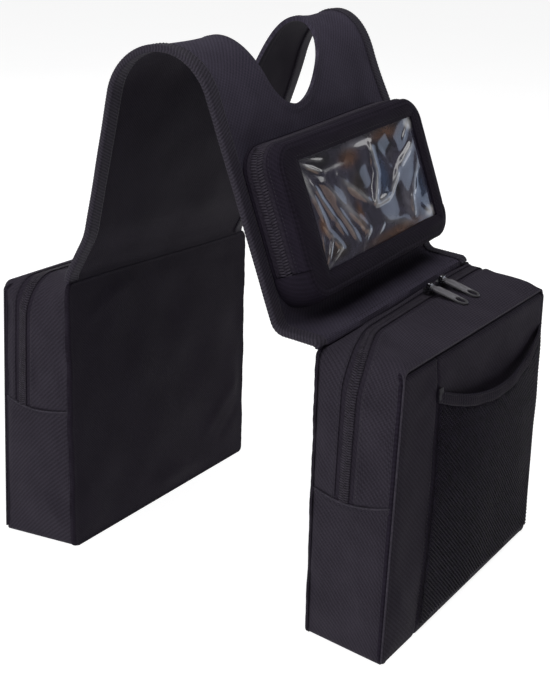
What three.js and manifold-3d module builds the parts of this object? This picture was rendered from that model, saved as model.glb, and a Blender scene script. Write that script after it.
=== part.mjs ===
import * as THREE from 'three';
import { mergeVertices } from 'three/addons/utils/BufferGeometryUtils.js';
import Module from 'manifold-3d';

// A saddle bag for a motorcycle or quad tank: two zipped pouches under an arched yoke with a filler-cap hole,
// and a phone pouch on the yoke's near slope. Millimetres, +Z up. X runs across the tank and Y along it.
// The bag stands on its pouches, with the origin on the floor under its middle.

const wasm = await Module();
wasm.setup();

const { lerp, clamp, smoothstep } = THREE.MathUtils;

// Cloth and sewing
const CLOTH = 2;
const FIT = 0.3;

// Pouches: W along Y, H up, D across X, and the clear space between their inner faces
const POUCH_WIDTH = 276;
const POUCH_HEIGHT = 250;
const POUCH_DEPTH = 78;
const TANK_SPACE = 252;
const PANEL_STEPS = 6;
const PANEL_TOP_RADIUS = 8;
const PANEL_BOTTOM_RADIUS = 5;
const GUSSET_TOP_RADIUS = { front: 36, rear: 16 };
const GUSSET_SEAM_HEIGHT = 134;
const OUTER_BELLY = 6;
const END_BELLY = 4;
const SPREAD = 11;

// The two pouches. side: which side of the tank. zipShare: zip line's place across the depth, from the inner
// face. lift: how far the top edge is pulled up, at the inner face's -Y and +Y ends and at the outer face.
// sliders: places on Y.
const POUCHES = [
  {
    name: 'near',
    side: 1,
    zipShare: 0.44,
    zipTuck: 21,
    lift: { front: 1, rear: 11, outer: 0 },
    sliders: { a: 30, b: 54 },
  },
  {
    name: 'far',
    side: -1,
    zipShare: 0.68,
    zipTuck: 0,
    lift: { front: 7, rear: 0, outer: -4 },
    sliders: { a: -46, b: -14 },
  },
];
const [NEAR, FAR] = POUCHES;

// Zips: half sections from the tape's edge over the coil to the other edge
const ZIP_TAPE = 18;
const ZIP_COIL = 7;
const COIL_SLOPE = 0.5;
const COIL_RISE = 1;
const ZIP_TUCK = { low: 205, front: -140, full: -62 };
const TAPE_DROP = 0.6;
const TAPE_CLOTH = 1.2;

// Outer face: the seam between its two cuts, and the net pocket with its sagging elastic mouth
const OUTER_SEAM_Y = -82;
const POCKET_MARGIN = 3;
const POCKET_BOTTOM = 7;
const POCKET_STAND = 7.5;
const POCKET_NET = 1;
const POCKET_COLUMNS = 10;
const MOUTH_MIDDLE_Y = 30;
const MOUTH_LOW = 194;
const MOUTH_BOW = 0.002;
const MOUTH_BAND = 11;
const MOUTH_BAND_CLOTH = 2.2;

// Yoke: a sheet bent over the tank, and its edge tapes
const YOKE_SHEET = 3;
const YOKE_HALF_WIDTH = 133;
const YOKE_MIDDLE_Y = -5;
const YOKE_ROWS = 4;
const SEAM_X = TANK_SPACE / 2 + CLOTH / 2;
const SEAM_Z = POUCH_HEIGHT + FIT;
const YOKE_CORNERS = [
  { a: -SEAM_X, b: SEAM_Z },
  { a: -SEAM_X, b: 256, radius: 16, runSteps: 1, turnSteps: 2 },
  { a: -104, b: 297, radius: 60, runSteps: 2, turnSteps: 3 },
  { a: -39.5, b: 602.7, radius: 51, runSteps: 4, turnSteps: 12 },
  { a: 89.5, b: 257.5, radius: 12, runSteps: 7, turnSteps: 4 },
  { a: SEAM_X, b: 254.6, radius: 3, runSteps: 3, turnSteps: 3 },
  { a: SEAM_X, b: SEAM_Z, runSteps: 1 },
];
const CROWN_RISE = { front: -4, rear: 9 };
const PINCH = { share: 0.3, farLow: 300, nearLow: 375, top: 465 };
const EDGE_TAPE_WIDTH = 12;
const EDGE_TAPE_CLOTH = 1.2;
const EDGE_TAPE_END = 2;
const HOLE_HALF_LENGTH = 94;
const HOLE_HALF_WIDTH = 56;
const HOLE_TO_FAR = 3;
const HOLE_MIDDLE_Y = 1;
const HOLE_TURN = THREE.MathUtils.degToRad(-20);

// Phone pouch: its outline on the yoke, its depth, and the window in its face
const PHONE_WIDTH = 240;
const PHONE_HEIGHT = 137;
const PHONE_DEPTH = 30;
const PHONE_CORNER = 26;
const PHONE_ROLL = 5;
const PHONE_LEAN = 9;
const PHONE_SEAM = 30;
const PHONE_CLOTH = 1.8;
const PHONE_CROWN = 2.5;
const PHONE_ZIP_DEPTH = 12;
const PHONE_ABOVE_CREASE = 2;
const WINDOW = { left: -86, right: 100, bottom: 23, top: 116, overlap: 6, film: 0.8 };

// Sliders and pulls
const SLIDER = { length: 13, width: 9.5, nose: 6, height: 3.4, clear: 0.6 };
const POST = { spread: 4.4, thick: 1.6, width: 2.4, foot: 1, top: 6.9 };
const BAR_RADIUS = 0.9;
const BAR_HEIGHT = 6;
const EYE = { inner: 1.3, outer: 2.4, length: 5.8, lap: 0.6 };
const PULL = { length: 38, width: 11.4, thick: 1.6, neck: 5.8, neckLength: 5, corner: 4.4 };
const PULL_HOLE = { middle: 31.4, length: 8.4, width: 7.6 };
const PULL_REST_GAP = 0.5;
const ROUND_SIDES = 6;

// Colour, roughness and metalness of each material
const FINISHES = {
  cloth: { color: 0x29282d, roughness: 0.9, metalness: 0 },
  tape: { color: 0x232227, roughness: 0.8, metalness: 0 },
  net: { color: 0x1c1b20, roughness: 0.85, metalness: 0 },
  coil: { color: 0x1f1e23, roughness: 0.55, metalness: 0 },
  metal: { color: 0x17171a, roughness: 0.3, metalness: 0.9 },
  pull: { color: 0x55545a, roughness: 0.45, metalness: 0.2 },
  film: { color: 0x8d96a3, roughness: 0.12, metalness: 0 },
};

// Welds a geometry into one closed body with its faces pointing out
function closedBody(geometry) {
  geometry.deleteAttribute('normal');
  geometry.deleteAttribute('uv');
  const welded = mergeVertices(geometry, 1e-4);
  const corners = Array.from(welded.index.array);
  const at = (i) => new THREE.Vector3().fromBufferAttribute(welded.attributes.position, i);
  let volume = 0;
  for (let i = 0; i < corners.length; i += 3) {
    volume += at(corners[i]).dot(at(corners[i + 1]).cross(at(corners[i + 2])));
  }
  if (volume < 0) corners.reverse();
  welded.setIndex(corners);
  welded.computeVertexNormals();
  return welded;
}

function toSolid(geometry) {
  const triVerts = new Uint32Array(geometry.index.array);
  const vertProperties = geometry.attributes.position.array;
  return new wasm.Manifold(new wasm.Mesh({ numProp: 3, vertProperties, triVerts }));
}

function fromSolid(solid) {
  const mesh = solid.getMesh();
  const geometry = new THREE.BufferGeometry();
  geometry.setAttribute('position', new THREE.BufferAttribute(mesh.vertProperties, 3));
  geometry.setIndex(new THREE.BufferAttribute(mesh.triVerts, 1));
  geometry.computeVertexNormals();
  return geometry;
}

const cut = (body, tool) => fromSolid(toSolid(body).subtract(toSolid(tool)));
const join = (bodies) => fromSolid(bodies.map(toSolid).reduce((whole, next) => whole.add(next)));

// A slab on a grid of columns and rows, each vertex put in place by its column, its row and its side
function bentSlab(columns, rows, place) {
  const geometry = new THREE.BoxGeometry(1, 1, 1, columns, rows, 1);
  const position = geometry.attributes.position;
  for (let i = 0; i < position.count; i++) {
    const column = Math.round((position.getX(i) + 0.5) * columns);
    const row = Math.round((position.getY(i) + 0.5) * rows);
    const point = place(column, row, position.getZ(i) > 0);
    position.setXYZ(i, point.x, point.y, point.z);
  }
  return closedBody(geometry);
}

// Stations along straight runs with rounded corners, in a plane with axes a and b. Each has its heading, its
// distance along the line, and its outer side to the left. turns holds where each rounded corner starts.
function roundedRun(corners) {
  const points = corners.map((corner) => new THREE.Vector2(corner.a, corner.b));
  const stations = [];
  const turns = [];
  let distance = 0;
  const add = (point, heading) => {
    const previous = stations.at(-1);
    if (previous) distance += Math.hypot(point.x - previous.a, point.y - previous.b);
    stations.push({ a: point.x, b: point.y, heading, distance });
  };
  let from = points[0];
  let heading = points[1].clone().sub(points[0]).angle();
  for (let i = 1; i < points.length; i++) {
    const into = new THREE.Vector2(Math.cos(heading), Math.sin(heading));
    const last = i === points.length - 1;
    const outOf = last ? into : points[i + 1].clone().sub(points[i]).normalize();
    const turn = Math.atan2(into.cross(outOf), into.dot(outOf));
    const reach = last ? 0 : corners[i].radius * Math.tan(Math.abs(turn) / 2);
    const entry = points[i].clone().addScaledVector(into, -reach);
    for (let k = 0; k < corners[i].runSteps; k++) {
      add(from.clone().lerp(entry, k / corners[i].runSteps), heading);
    }
    if (last) {
      add(entry, heading);
      break;
    }
    turns.push(distance + entry.distanceTo(new THREE.Vector2(stations.at(-1).a, stations.at(-1).b)));
    const toCentre = new THREE.Vector2(-into.y, into.x).multiplyScalar(Math.sign(turn) * corners[i].radius);
    const centre = entry.clone().add(toCentre);
    for (let k = 0; k < corners[i].turnSteps; k++) {
      const turned = (turn * k) / corners[i].turnSteps;
      add(entry.clone().rotateAround(centre, turned), heading + turned);
    }
    from = entry.clone().rotateAround(centre, turn);
    heading += turn;
  }
  return { stations, turns, length: distance };
}

function stationAt(run, distance) {
  const after = clamp(run.stations.findIndex((s) => s.distance > distance), 1, run.stations.length - 1);
  const beyond = distance >= run.length ? run.stations.length - 1 : after;
  const [p, q] = [run.stations[beyond - 1], run.stations[beyond]];
  const share = (distance - p.distance) / (q.distance - p.distance);
  return {
    a: lerp(p.a, q.a, share),
    b: lerp(p.b, q.b, share),
    heading: lerp(p.heading, q.heading, share),
  };
}

// A point on a station's outer side, or inside it where the offset is negative
const besideStation = (station, offset) => ({
  a: station.a - Math.sin(station.heading) * offset,
  b: station.b + Math.cos(station.heading) * offset,
});

const bag = new THREE.Group();

function addMesh(name, geometry, finish) {
  const mesh = new THREE.Mesh(geometry, new THREE.MeshStandardMaterial(FINISHES[finish]));
  mesh.name = name;
  bag.add(mesh);
  return mesh;
}

// How far a front and a rear amount add up at a place on Y
const alongY = (front, rear, y) => lerp(front, rear, smoothstep(y, -POUCH_WIDTH / 2, POUCH_WIDTH / 2));

// Where a line of the gusset lies once the zip has moved towards the yoke along the pouch's top
function tuckedDepth(pouch, depth, y, z) {
  const inside = CLOTH + FIT;
  const share = clamp((depth - inside) / (POUCH_DEPTH - 2 * inside), 0, 1);
  const onTop = smoothstep(z, ZIP_TUCK.low, POUCH_HEIGHT) * smoothstep(y, ZIP_TUCK.front, ZIP_TUCK.full);
  return depth - pouch.zipTuck * Math.sin(Math.PI * share) * onTop;
}

// The soft form of a filled pouch: its outer face and ends belly out, its outer face spreads towards the floor,
// and its top is pulled up at the yoke. The inner face and the floor stay flat.
function pouchForm(pouch, depth, y, z) {
  const across = depth / POUCH_DEPTH;
  const along = clamp((2 * y) / POUCH_WIDTH, -1, 1);
  const height = z / POUCH_HEIGHT;
  const level = Math.sin(Math.PI * clamp(height, 0, 1));
  const belly = OUTER_BELLY * across * Math.cos((Math.PI / 2) * along) * level;
  const ends = END_BELLY * along ** 3 * Math.sin(Math.PI * clamp(across, 0, 1)) * level;
  const spread = SPREAD * along * clamp(across, 0, 1) * (1 - clamp(height, 0, 1));
  const lift = lerp(alongY(pouch.lift.front, pouch.lift.rear, y), pouch.lift.outer, across ** 2) * height ** 3;
  return new THREE.Vector3(pouch.side * (TANK_SPACE / 2 + depth + belly), y + ends + spread, z + lift);
}

function pouchPoint(pouch, depth, y, z) {
  return pouchForm(pouch, tuckedDepth(pouch, depth, y, z), y, z);
}

// The line of the zip gusset over the top of a pouch, rounder half way between the panels than at them
function zipRun(across) {
  const [front, rear] = [GUSSET_TOP_RADIUS.front, GUSSET_TOP_RADIUS.rear].map((radius) =>
    lerp(PANEL_TOP_RADIUS, radius, Math.sin(Math.PI * across)),
  );
  const half = POUCH_WIDTH / 2;
  return roundedRun([
    { a: -half, b: GUSSET_SEAM_HEIGHT },
    { a: -half, b: POUCH_HEIGHT, radius: front, runSteps: 3, turnSteps: 5 },
    { a: half, b: POUCH_HEIGHT, radius: rear, runSteps: 7, turnSteps: 5 },
    { a: half, b: GUSSET_SEAM_HEIGHT, runSteps: 3 },
  ]).stations;
}

// The line of the lower gusset, under the pouch
function lowerRun() {
  const half = POUCH_WIDTH / 2;
  const seam = GUSSET_SEAM_HEIGHT - FIT;
  const radius = PANEL_BOTTOM_RADIUS;
  return roundedRun([
    { a: half, b: seam },
    { a: half, b: 0, radius, runSteps: 4, turnSteps: 3 },
    { a: -half, b: 0, radius, runSteps: 4, turnSteps: 3 },
    { a: -half, b: seam, runSteps: 4 },
  ]).stations;
}

// A strip of gusset. Each row of the section has its depth and how far its outer side rises from the line.
function gussetStrip(pouch, runAt, section, cloth) {
  const runs = section.map((row) => runAt(row.depth / POUCH_DEPTH));
  return bentSlab(runs[0].length - 1, section.length - 1, (column, row, outer) => {
    const { depth, rise } = section[row];
    const point = besideStation(runs[row][column], outer ? rise : rise - cloth);
    return pouchPoint(pouch, depth, point.a, point.b);
  });
}

// Evenly spaced section rows of a plain strip
function plainSection(from, to, steps) {
  return Array.from({ length: steps + 1 }, (_, k) => ({ depth: lerp(from, to, k / steps), rise: 0 }));
}

// Section of a zip: flat tape, raised coil, flat tape
function zipSection(middle, tape) {
  const coil = ZIP_COIL / 2;
  return [
    { depth: middle - tape / 2 + FIT, rise: -TAPE_DROP },
    { depth: middle - coil - COIL_SLOPE, rise: -TAPE_DROP },
    { depth: middle - coil, rise: COIL_RISE },
    { depth: middle + coil, rise: COIL_RISE },
    { depth: middle + coil + COIL_SLOPE, rise: -TAPE_DROP },
    { depth: middle + tape / 2 - FIT, rise: -TAPE_DROP },
  ];
}

// Heights of a panel's rows, close together in its rounded corners
function panelRows(bottom, top, bottomRadius, topRadius, steps) {
  const quarter = [0, 0.5, 1].map((share) => (share * Math.PI) / 2);
  const low = quarter.map((angle) => bottom + bottomRadius * (1 - Math.cos(angle)));
  const high = quarter.map((angle) => top - topRadius * (1 - Math.sin(angle)));
  const between = Array.from({ length: steps - 1 }, (_, k) => lerp(low.at(-1), high[0], (k + 1) / steps));
  return [...low, ...between, ...high];
}

// Half width of a rounded panel at a height
function halfWidthAt(z, half, bottom, top, bottomRadius, topRadius) {
  const under = clamp(bottom + bottomRadius - z, 0, bottomRadius);
  const over = clamp(z - (top - topRadius), 0, topRadius);
  const lost = bottomRadius - Math.sqrt(bottomRadius ** 2 - under ** 2);
  return half - lost - (topRadius - Math.sqrt(topRadius ** 2 - over ** 2));
}

const panelHalf = (z) =>
  halfWidthAt(z, POUCH_WIDTH / 2, 0, POUCH_HEIGHT, PANEL_BOTTOM_RADIUS, PANEL_TOP_RADIUS);

// A panel of a pouch between two edges and two depths
function pouchPanel(pouch, columns, leftAt, rightAt, from, to) {
  const rows = panelRows(0, POUCH_HEIGHT, PANEL_BOTTOM_RADIUS, PANEL_TOP_RADIUS, PANEL_STEPS);
  return bentSlab(columns, rows.length - 1, (column, row, outer) => {
    const z = rows[row];
    const y = lerp(leftAt(z), rightAt(z), column / columns);
    return pouchPoint(pouch, outer ? to : from, y, z);
  });
}

// The pocket's mouth sags between its ends, and the net stands off the panel most in the middle of the mouth
const mouthAt = (y) => MOUTH_LOW + MOUTH_BOW * (y - MOUTH_MIDDLE_Y) ** 2;
const pocketLeft = OUTER_SEAM_Y + POCKET_MARGIN;
const pocketRight = (z) => panelHalf(z) - POCKET_MARGIN;
function pocketStand(y, z) {
  const across = (y - pocketLeft) / (pocketRight(z) - pocketLeft);
  const up = clamp(z / mouthAt(y), 0, 1);
  return FIT + POCKET_STAND * Math.sqrt(Math.sin(Math.PI * clamp(across, 0, 1))) * up;
}

function meshPocket(pouch) {
  const rows = 6;
  return bentSlab(POCKET_COLUMNS, rows, (column, row, outer) => {
    const share = column / POCKET_COLUMNS;
    const level = (y) => lerp(POCKET_BOTTOM, mouthAt(y) - MOUTH_BAND - FIT, row / rows);
    const guess = lerp(pocketLeft, POUCH_WIDTH / 2 - POCKET_MARGIN, share);
    const y = lerp(pocketLeft, pocketRight(level(guess)), share);
    const depth = POUCH_DEPTH + pocketStand(y, level(y)) + (outer ? POCKET_NET : 0);
    return pouchPoint(pouch, depth, y, level(y));
  });
}

function pocketBinding(pouch) {
  return bentSlab(POCKET_COLUMNS, 1, (column, row, outer) => {
    const y = lerp(pocketLeft, POUCH_WIDTH / 2 - POCKET_MARGIN, column / POCKET_COLUMNS);
    const z = mouthAt(y) - (row === 0 ? MOUTH_BAND : 0);
    const depth = POUCH_DEPTH + pocketStand(y, z) + (outer ? MOUTH_BAND_CLOTH : 0);
    return pouchPoint(pouch, depth, y, z);
  });
}

// A round rod or tube along Y
function tubeAlongY(outerRadius, innerRadius, length) {
  const shape = new THREE.Shape().absarc(0, 0, outerRadius, 0, 2 * Math.PI);
  if (innerRadius > 0) shape.holes.push(new THREE.Path().absarc(0, 0, innerRadius, 0, 2 * Math.PI, true));
  const geometry = new THREE.ExtrudeGeometry(shape, {
    depth: length,
    bevelEnabled: false,
    curveSegments: ROUND_SIDES,
  });
  geometry.translate(0, 0, -length / 2);
  geometry.rotateX(Math.PI / 2);
  return closedBody(geometry);
}

// A zip slider: a body with a narrower nose, and two posts that carry the bar of the pull
function sliderBody() {
  const [l, w, n] = [SLIDER.length / 2, SLIDER.width / 2, SLIDER.nose / 2];
  const shape = new THREE.Shape().moveTo(-n, -l).lineTo(n, -l);
  shape.quadraticCurveTo(w, -l / 2, w, 0).lineTo(w, l).lineTo(-w, l).lineTo(-w, 0);
  shape.quadraticCurveTo(-w, -l / 2, -n, -l);
  const body = closedBody(
    new THREE.ExtrudeGeometry(shape, { depth: SLIDER.height, bevelEnabled: false, curveSegments: 3 }),
  );
  const posts = [-1, 1].map((end) => {
    const post = new THREE.BoxGeometry(POST.width, POST.thick, POST.top - POST.foot);
    post.translate(0, end * POST.spread, (POST.top + POST.foot) / 2);
    return closedBody(post);
  });
  const bar = tubeAlongY(BAR_RADIUS, 0, 2 * POST.spread);
  bar.translate(0, 0, BAR_HEIGHT);
  return join([body, ...posts, bar]);
}

// A pull tab with its hinge on Y at the origin: an eye round the slider's bar, a neck and a plate with a slot
function pullTab() {
  const [w, n, r] = [PULL.width / 2, PULL.neck / 2, PULL.corner];
  const [root, end] = [EYE.outer - EYE.lap, PULL.length];
  const shape = new THREE.Shape().moveTo(root, -n).lineTo(PULL.neckLength, -n);
  shape.lineTo(PULL.neckLength + w - n, -w).lineTo(end - r, -w).quadraticCurveTo(end, -w, end, -w + r);
  shape.lineTo(end, w - r).quadraticCurveTo(end, w, end - r, w).lineTo(PULL.neckLength + w - n, w);
  shape.lineTo(PULL.neckLength, n).lineTo(root, n).closePath();
  const [hx, hy] = [PULL_HOLE.length / 2, PULL_HOLE.width / 2];
  const slot = new THREE.Path().absellipse(PULL_HOLE.middle, 0, hx, hy, 0, 2 * Math.PI, true);
  shape.holes.push(slot);
  const plate = new THREE.ExtrudeGeometry(shape, {
    depth: PULL.thick,
    bevelEnabled: false,
    curveSegments: ROUND_SIDES,
  });
  plate.translate(0, 0, -PULL.thick / 2);
  return join([closedBody(plate), tubeAlongY(EYE.outer, EYE.inner, EYE.length)]);
}

// A slider on the zip line, and its pull lying on the cloth towards +X
function addSlider(pouch, mark, y) {
  const zipDepth = pouch.zipShare * POUCH_DEPTH;
  const coil = pouchPoint(pouch, zipDepth, y, POUCH_HEIGHT + COIL_RISE);
  const slider = addMesh(`${pouch.name}_slider_${mark}`, sliderBody(), 'metal');
  slider.position.set(coil.x, y, coil.z + SLIDER.clear);
  const axisHeight = slider.position.z + BAR_HEIGHT;
  const reach = tuckedDepth(pouch, zipDepth, y, POUCH_HEIGHT) + pouch.side * PULL.length;
  const tip = pouchForm(pouch, reach, y, POUCH_HEIGHT);
  const drop = axisHeight - tip.z - PULL.thick / 2 - PULL_REST_GAP;
  const pull = addMesh(`${pouch.name}_pull_${mark}`, pullTab(), 'pull');
  pull.position.set(coil.x, y, axisHeight);
  pull.rotation.y = Math.asin(drop / PULL.length);
}

function addPouch(pouch) {
  const piece = (name) => `${pouch.name}_${name}`;
  const edge = panelHalf;
  const inside = CLOTH + FIT;
  const zipDepth = pouch.zipShare * POUCH_DEPTH;
  const inner = plainSection(inside, zipDepth - ZIP_TAPE / 2, 2);
  const outer = plainSection(zipDepth + ZIP_TAPE / 2, POUCH_DEPTH - inside, 2);
  const whole = plainSection(inside, POUCH_DEPTH - inside, 4);
  const zip = zipSection(zipDepth, ZIP_TAPE);
  const face = POUCH_DEPTH - CLOTH;
  const front = (z) => -edge(z);
  const seam = () => OUTER_SEAM_Y;
  const seamAcross = () => OUTER_SEAM_Y - FIT;
  addMesh(piece('back_panel'), pouchPanel(pouch, 6, front, edge, 0, CLOTH), 'cloth');
  addMesh(piece('outer_strip'), pouchPanel(pouch, 2, front, seamAcross, face, POUCH_DEPTH), 'cloth');
  addMesh(piece('outer_panel'), pouchPanel(pouch, 6, seam, edge, face, POUCH_DEPTH), 'cloth');
  addMesh(piece('zip_strip_inner'), gussetStrip(pouch, zipRun, inner, CLOTH), 'cloth');
  addMesh(piece('zipper'), gussetStrip(pouch, zipRun, zip, TAPE_CLOTH), 'coil');
  addMesh(piece('zip_strip_outer'), gussetStrip(pouch, zipRun, outer, CLOTH), 'cloth');
  addMesh(piece('lower_gusset'), gussetStrip(pouch, lowerRun, whole, CLOTH), 'cloth');
  addMesh(piece('mesh_pocket'), meshPocket(pouch), 'net');
  addMesh(piece('pocket_binding'), pocketBinding(pouch), 'tape');
  for (const [mark, y] of Object.entries(pouch.sliders)) addSlider(pouch, mark, y);
}

// The yoke's line over the tank, from the far seam to the near seam
const yokeRun = roundedRun(YOKE_CORNERS);
const crownDistance = yokeRun.stations.reduce((top, next) => (next.b > top.b ? next : top)).distance;
const creaseDistance = yokeRun.turns[3];

// How far the yoke is pulled up from its line: at each seam as the pouch there, and a little askew on top
function yokeRise(distance, y) {
  const far = alongY(FAR.lift.front, FAR.lift.rear, y);
  const crown = alongY(CROWN_RISE.front, CROWN_RISE.rear, y);
  const near = alongY(NEAR.lift.front, NEAR.lift.rear, y);
  if (distance < crownDistance) return lerp(far, crown, smoothstep(distance, 0, crownDistance));
  return lerp(crown, near, smoothstep(distance, crownDistance, yokeRun.length));
}

// A point beside the yoke's middle surface, outwards where the offset is positive. The arch is pinched at the
// top, more towards +Y.
function yokePoint(distance, y, offset) {
  const station = stationAt(yokeRun, distance);
  const low = distance < crownDistance ? PINCH.farLow : PINCH.nearLow;
  const pinch = PINCH.share * (y / POUCH_WIDTH + 0.5) * smoothstep(station.b, low, PINCH.top);
  const point = besideStation({ ...station, a: station.a * (1 - pinch) }, offset);
  return new THREE.Vector3(point.a, y, point.b + yokeRise(distance, y));
}

// A slab along the yoke between two places on Y
function yokeSlab(rows, from, to, halfThickness, endMargin) {
  const { stations, length } = yokeRun;
  return bentSlab(stations.length - 1, rows, (column, row, outer) => {
    const distance = clamp(stations[column].distance, endMargin, length - endMargin);
    return yokePoint(distance, lerp(from, to, row / rows), outer ? halfThickness : -halfThickness);
  });
}

// A bent disc that cuts the oval hole square through the sheet
function holeTool() {
  const reach = YOKE_SHEET;
  const rings = 12;
  const spokes = 36;
  const profile = [];
  for (let k = 0; k <= rings; k++) profile.push(new THREE.Vector2(k / rings, -reach));
  for (let k = rings; k >= 0; k--) profile.push(new THREE.Vector2(k / rings, reach));
  const geometry = new THREE.LatheGeometry(profile, spokes);
  const position = geometry.attributes.position;
  const middle = crownDistance - HOLE_TO_FAR;
  for (let i = 0; i < position.count; i++) {
    const place = new THREE.Vector2(position.getX(i) * HOLE_HALF_LENGTH, position.getZ(i) * HOLE_HALF_WIDTH);
    place.rotateAround(new THREE.Vector2(), HOLE_TURN);
    const point = yokePoint(middle + place.x, HOLE_MIDDLE_Y + place.y, position.getY(i));
    position.setXYZ(i, point.x, point.y, point.z);
  }
  return closedBody(geometry);
}

// A tape folded over one long edge of the yoke
function edgeTape(end) {
  const half = YOKE_SHEET / 2 + FIT;
  const edge = YOKE_MIDDLE_Y + end * (YOKE_HALF_WIDTH + FIT);
  const over = YOKE_MIDDLE_Y + end * (YOKE_HALF_WIDTH - EDGE_TAPE_WIDTH);
  const outside = yokeSlab(1, edge + end * EDGE_TAPE_CLOTH, over, half + EDGE_TAPE_CLOTH, EDGE_TAPE_END);
  const inside = yokeSlab(1, edge, over - end, half, 0);
  return cut(outside, inside);
}

function addYoke() {
  const [front, rear] = [YOKE_MIDDLE_Y - YOKE_HALF_WIDTH, YOKE_MIDDLE_Y + YOKE_HALF_WIDTH];
  const sheet = yokeSlab(YOKE_ROWS, front, rear, YOKE_SHEET / 2, 0);
  addMesh('yoke', cut(sheet, holeTool()), 'cloth');
  addMesh('yoke_binding_front', edgeTape(-1), 'tape');
  addMesh('yoke_binding_rear', edgeTape(1), 'tape');
}

// A point of the phone pouch: y along the bag from the pouch's middle, b up the yoke's slope from its lower
// edge, and c off the yoke. Its rear end leans over the yoke's edge.
const phoneBottom = creaseDistance - PHONE_ABOVE_CREASE;
function phonePoint(y, b, c) {
  const lean = PHONE_LEAN * smoothstep(c, 0, PHONE_DEPTH) * clamp((2 * y) / PHONE_WIDTH, 0, 1);
  return yokePoint(phoneBottom - b, YOKE_MIDDLE_Y + y + lean, YOKE_SHEET / 2 + FIT + c);
}

// The pouch's walls lean in towards its face
const phoneInset = (c) => PHONE_ROLL * (c / PHONE_DEPTH) ** 2;

function phoneTopRun(c) {
  const inset = phoneInset(c);
  const half = PHONE_WIDTH / 2 - inset;
  const top = PHONE_HEIGHT - inset;
  const radius = PHONE_CORNER - inset;
  return roundedRun([
    { a: -half, b: PHONE_SEAM },
    { a: -half, b: top, radius, runSteps: 2, turnSteps: 5 },
    { a: half, b: top, radius, runSteps: 4, turnSteps: 5 },
    { a: half, b: PHONE_SEAM, runSteps: 2 },
  ]).stations;
}

function phoneBottomRun(c) {
  const inset = phoneInset(c);
  const half = PHONE_WIDTH / 2 - inset;
  const radius = PHONE_CORNER - inset;
  return roundedRun([
    { a: half, b: PHONE_SEAM - FIT },
    { a: half, b: inset, radius, runSteps: 1, turnSteps: 5 },
    { a: -half, b: inset, radius, runSteps: 4, turnSteps: 5 },
    { a: -half, b: PHONE_SEAM - FIT, runSteps: 1 },
  ]).stations;
}

function phoneWall(runAt, section, cloth) {
  const runs = section.map((row) => runAt(row.depth));
  return bentSlab(runs[0].length - 1, section.length - 1, (column, row, outer) => {
    const { depth, rise } = section[row];
    const point = besideStation(runs[row][column], outer ? rise : rise - cloth);
    return phonePoint(point.a, point.b, depth);
  });
}

// The face bulges a little between its edges
function phoneFacePoint(y, b, drop) {
  const along = (2 * y) / PHONE_WIDTH;
  const up = (2 * b) / PHONE_HEIGHT - 1;
  const crown = PHONE_CROWN * (1 - along ** 2) * (1 - up ** 2);
  return phonePoint(y, b, PHONE_DEPTH + crown - drop);
}

function phoneFace() {
  const [bottom, top] = [PHONE_ROLL, PHONE_HEIGHT - PHONE_ROLL];
  const [half, radius] = [PHONE_WIDTH / 2 - PHONE_ROLL, PHONE_CORNER - PHONE_ROLL];
  const rows = panelRows(bottom, top, radius, radius, 4);
  const columns = 8;
  const plate = bentSlab(columns, rows.length - 1, (column, row, outer) => {
    const edge = halfWidthAt(rows[row], half, bottom, top, radius, radius);
    return phoneFacePoint(lerp(-edge, edge, column / columns), rows[row], outer ? 0 : PHONE_CLOTH);
  });
  const opening = bentSlab(1, 1, (column, row, outer) =>
    phonePoint(
      column === 0 ? WINDOW.left : WINDOW.right,
      row === 0 ? WINDOW.bottom : WINDOW.top,
      PHONE_DEPTH + (outer ? 2 : -2) * PHONE_CROWN,
    ),
  );
  return cut(plate, opening);
}

// The clear film behind the face
function phoneWindow() {
  const [columns, rows] = [6, 4];
  return bentSlab(columns, rows, (column, row, outer) => {
    const y = lerp(WINDOW.left - WINDOW.overlap, WINDOW.right + WINDOW.overlap, column / columns);
    const b = lerp(WINDOW.bottom - WINDOW.overlap, WINDOW.top + WINDOW.overlap, row / rows);
    return phoneFacePoint(y, b, PHONE_CLOTH + FIT + (outer ? 0 : WINDOW.film));
  });
}

// The phone pouch's slider sits on the zip's rear end, with its tab along the zip, as one plain piece
function addPhoneSlider() {
  const overCoil = (b, c) => phonePoint(PHONE_WIDTH / 2 - phoneInset(c) + COIL_RISE + SLIDER.clear, b, c);
  const foot = PHONE_SEAM + SLIDER.length;
  const low = overCoil(foot, PHONE_ZIP_DEPTH);
  const up = overCoil(foot + SLIDER.length, PHONE_ZIP_DEPTH).sub(low).normalize();
  const out = low.clone().sub(overCoil(foot, PHONE_ZIP_DEPTH + ZIP_COIL / 2)).cross(up).normalize();
  const side = up.clone().cross(out);
  const tab = closedBody(new THREE.BoxGeometry(PULL.neck, PULL.length / 2, PULL.thick));
  tab.translate(0, PULL.length / 4, SLIDER.height);
  const slider = addMesh('phone_slider', join([sliderBody(), tab]), 'metal');
  slider.position.copy(low);
  slider.quaternion.setFromRotationMatrix(new THREE.Matrix4().makeBasis(side, up, out));
}

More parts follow.
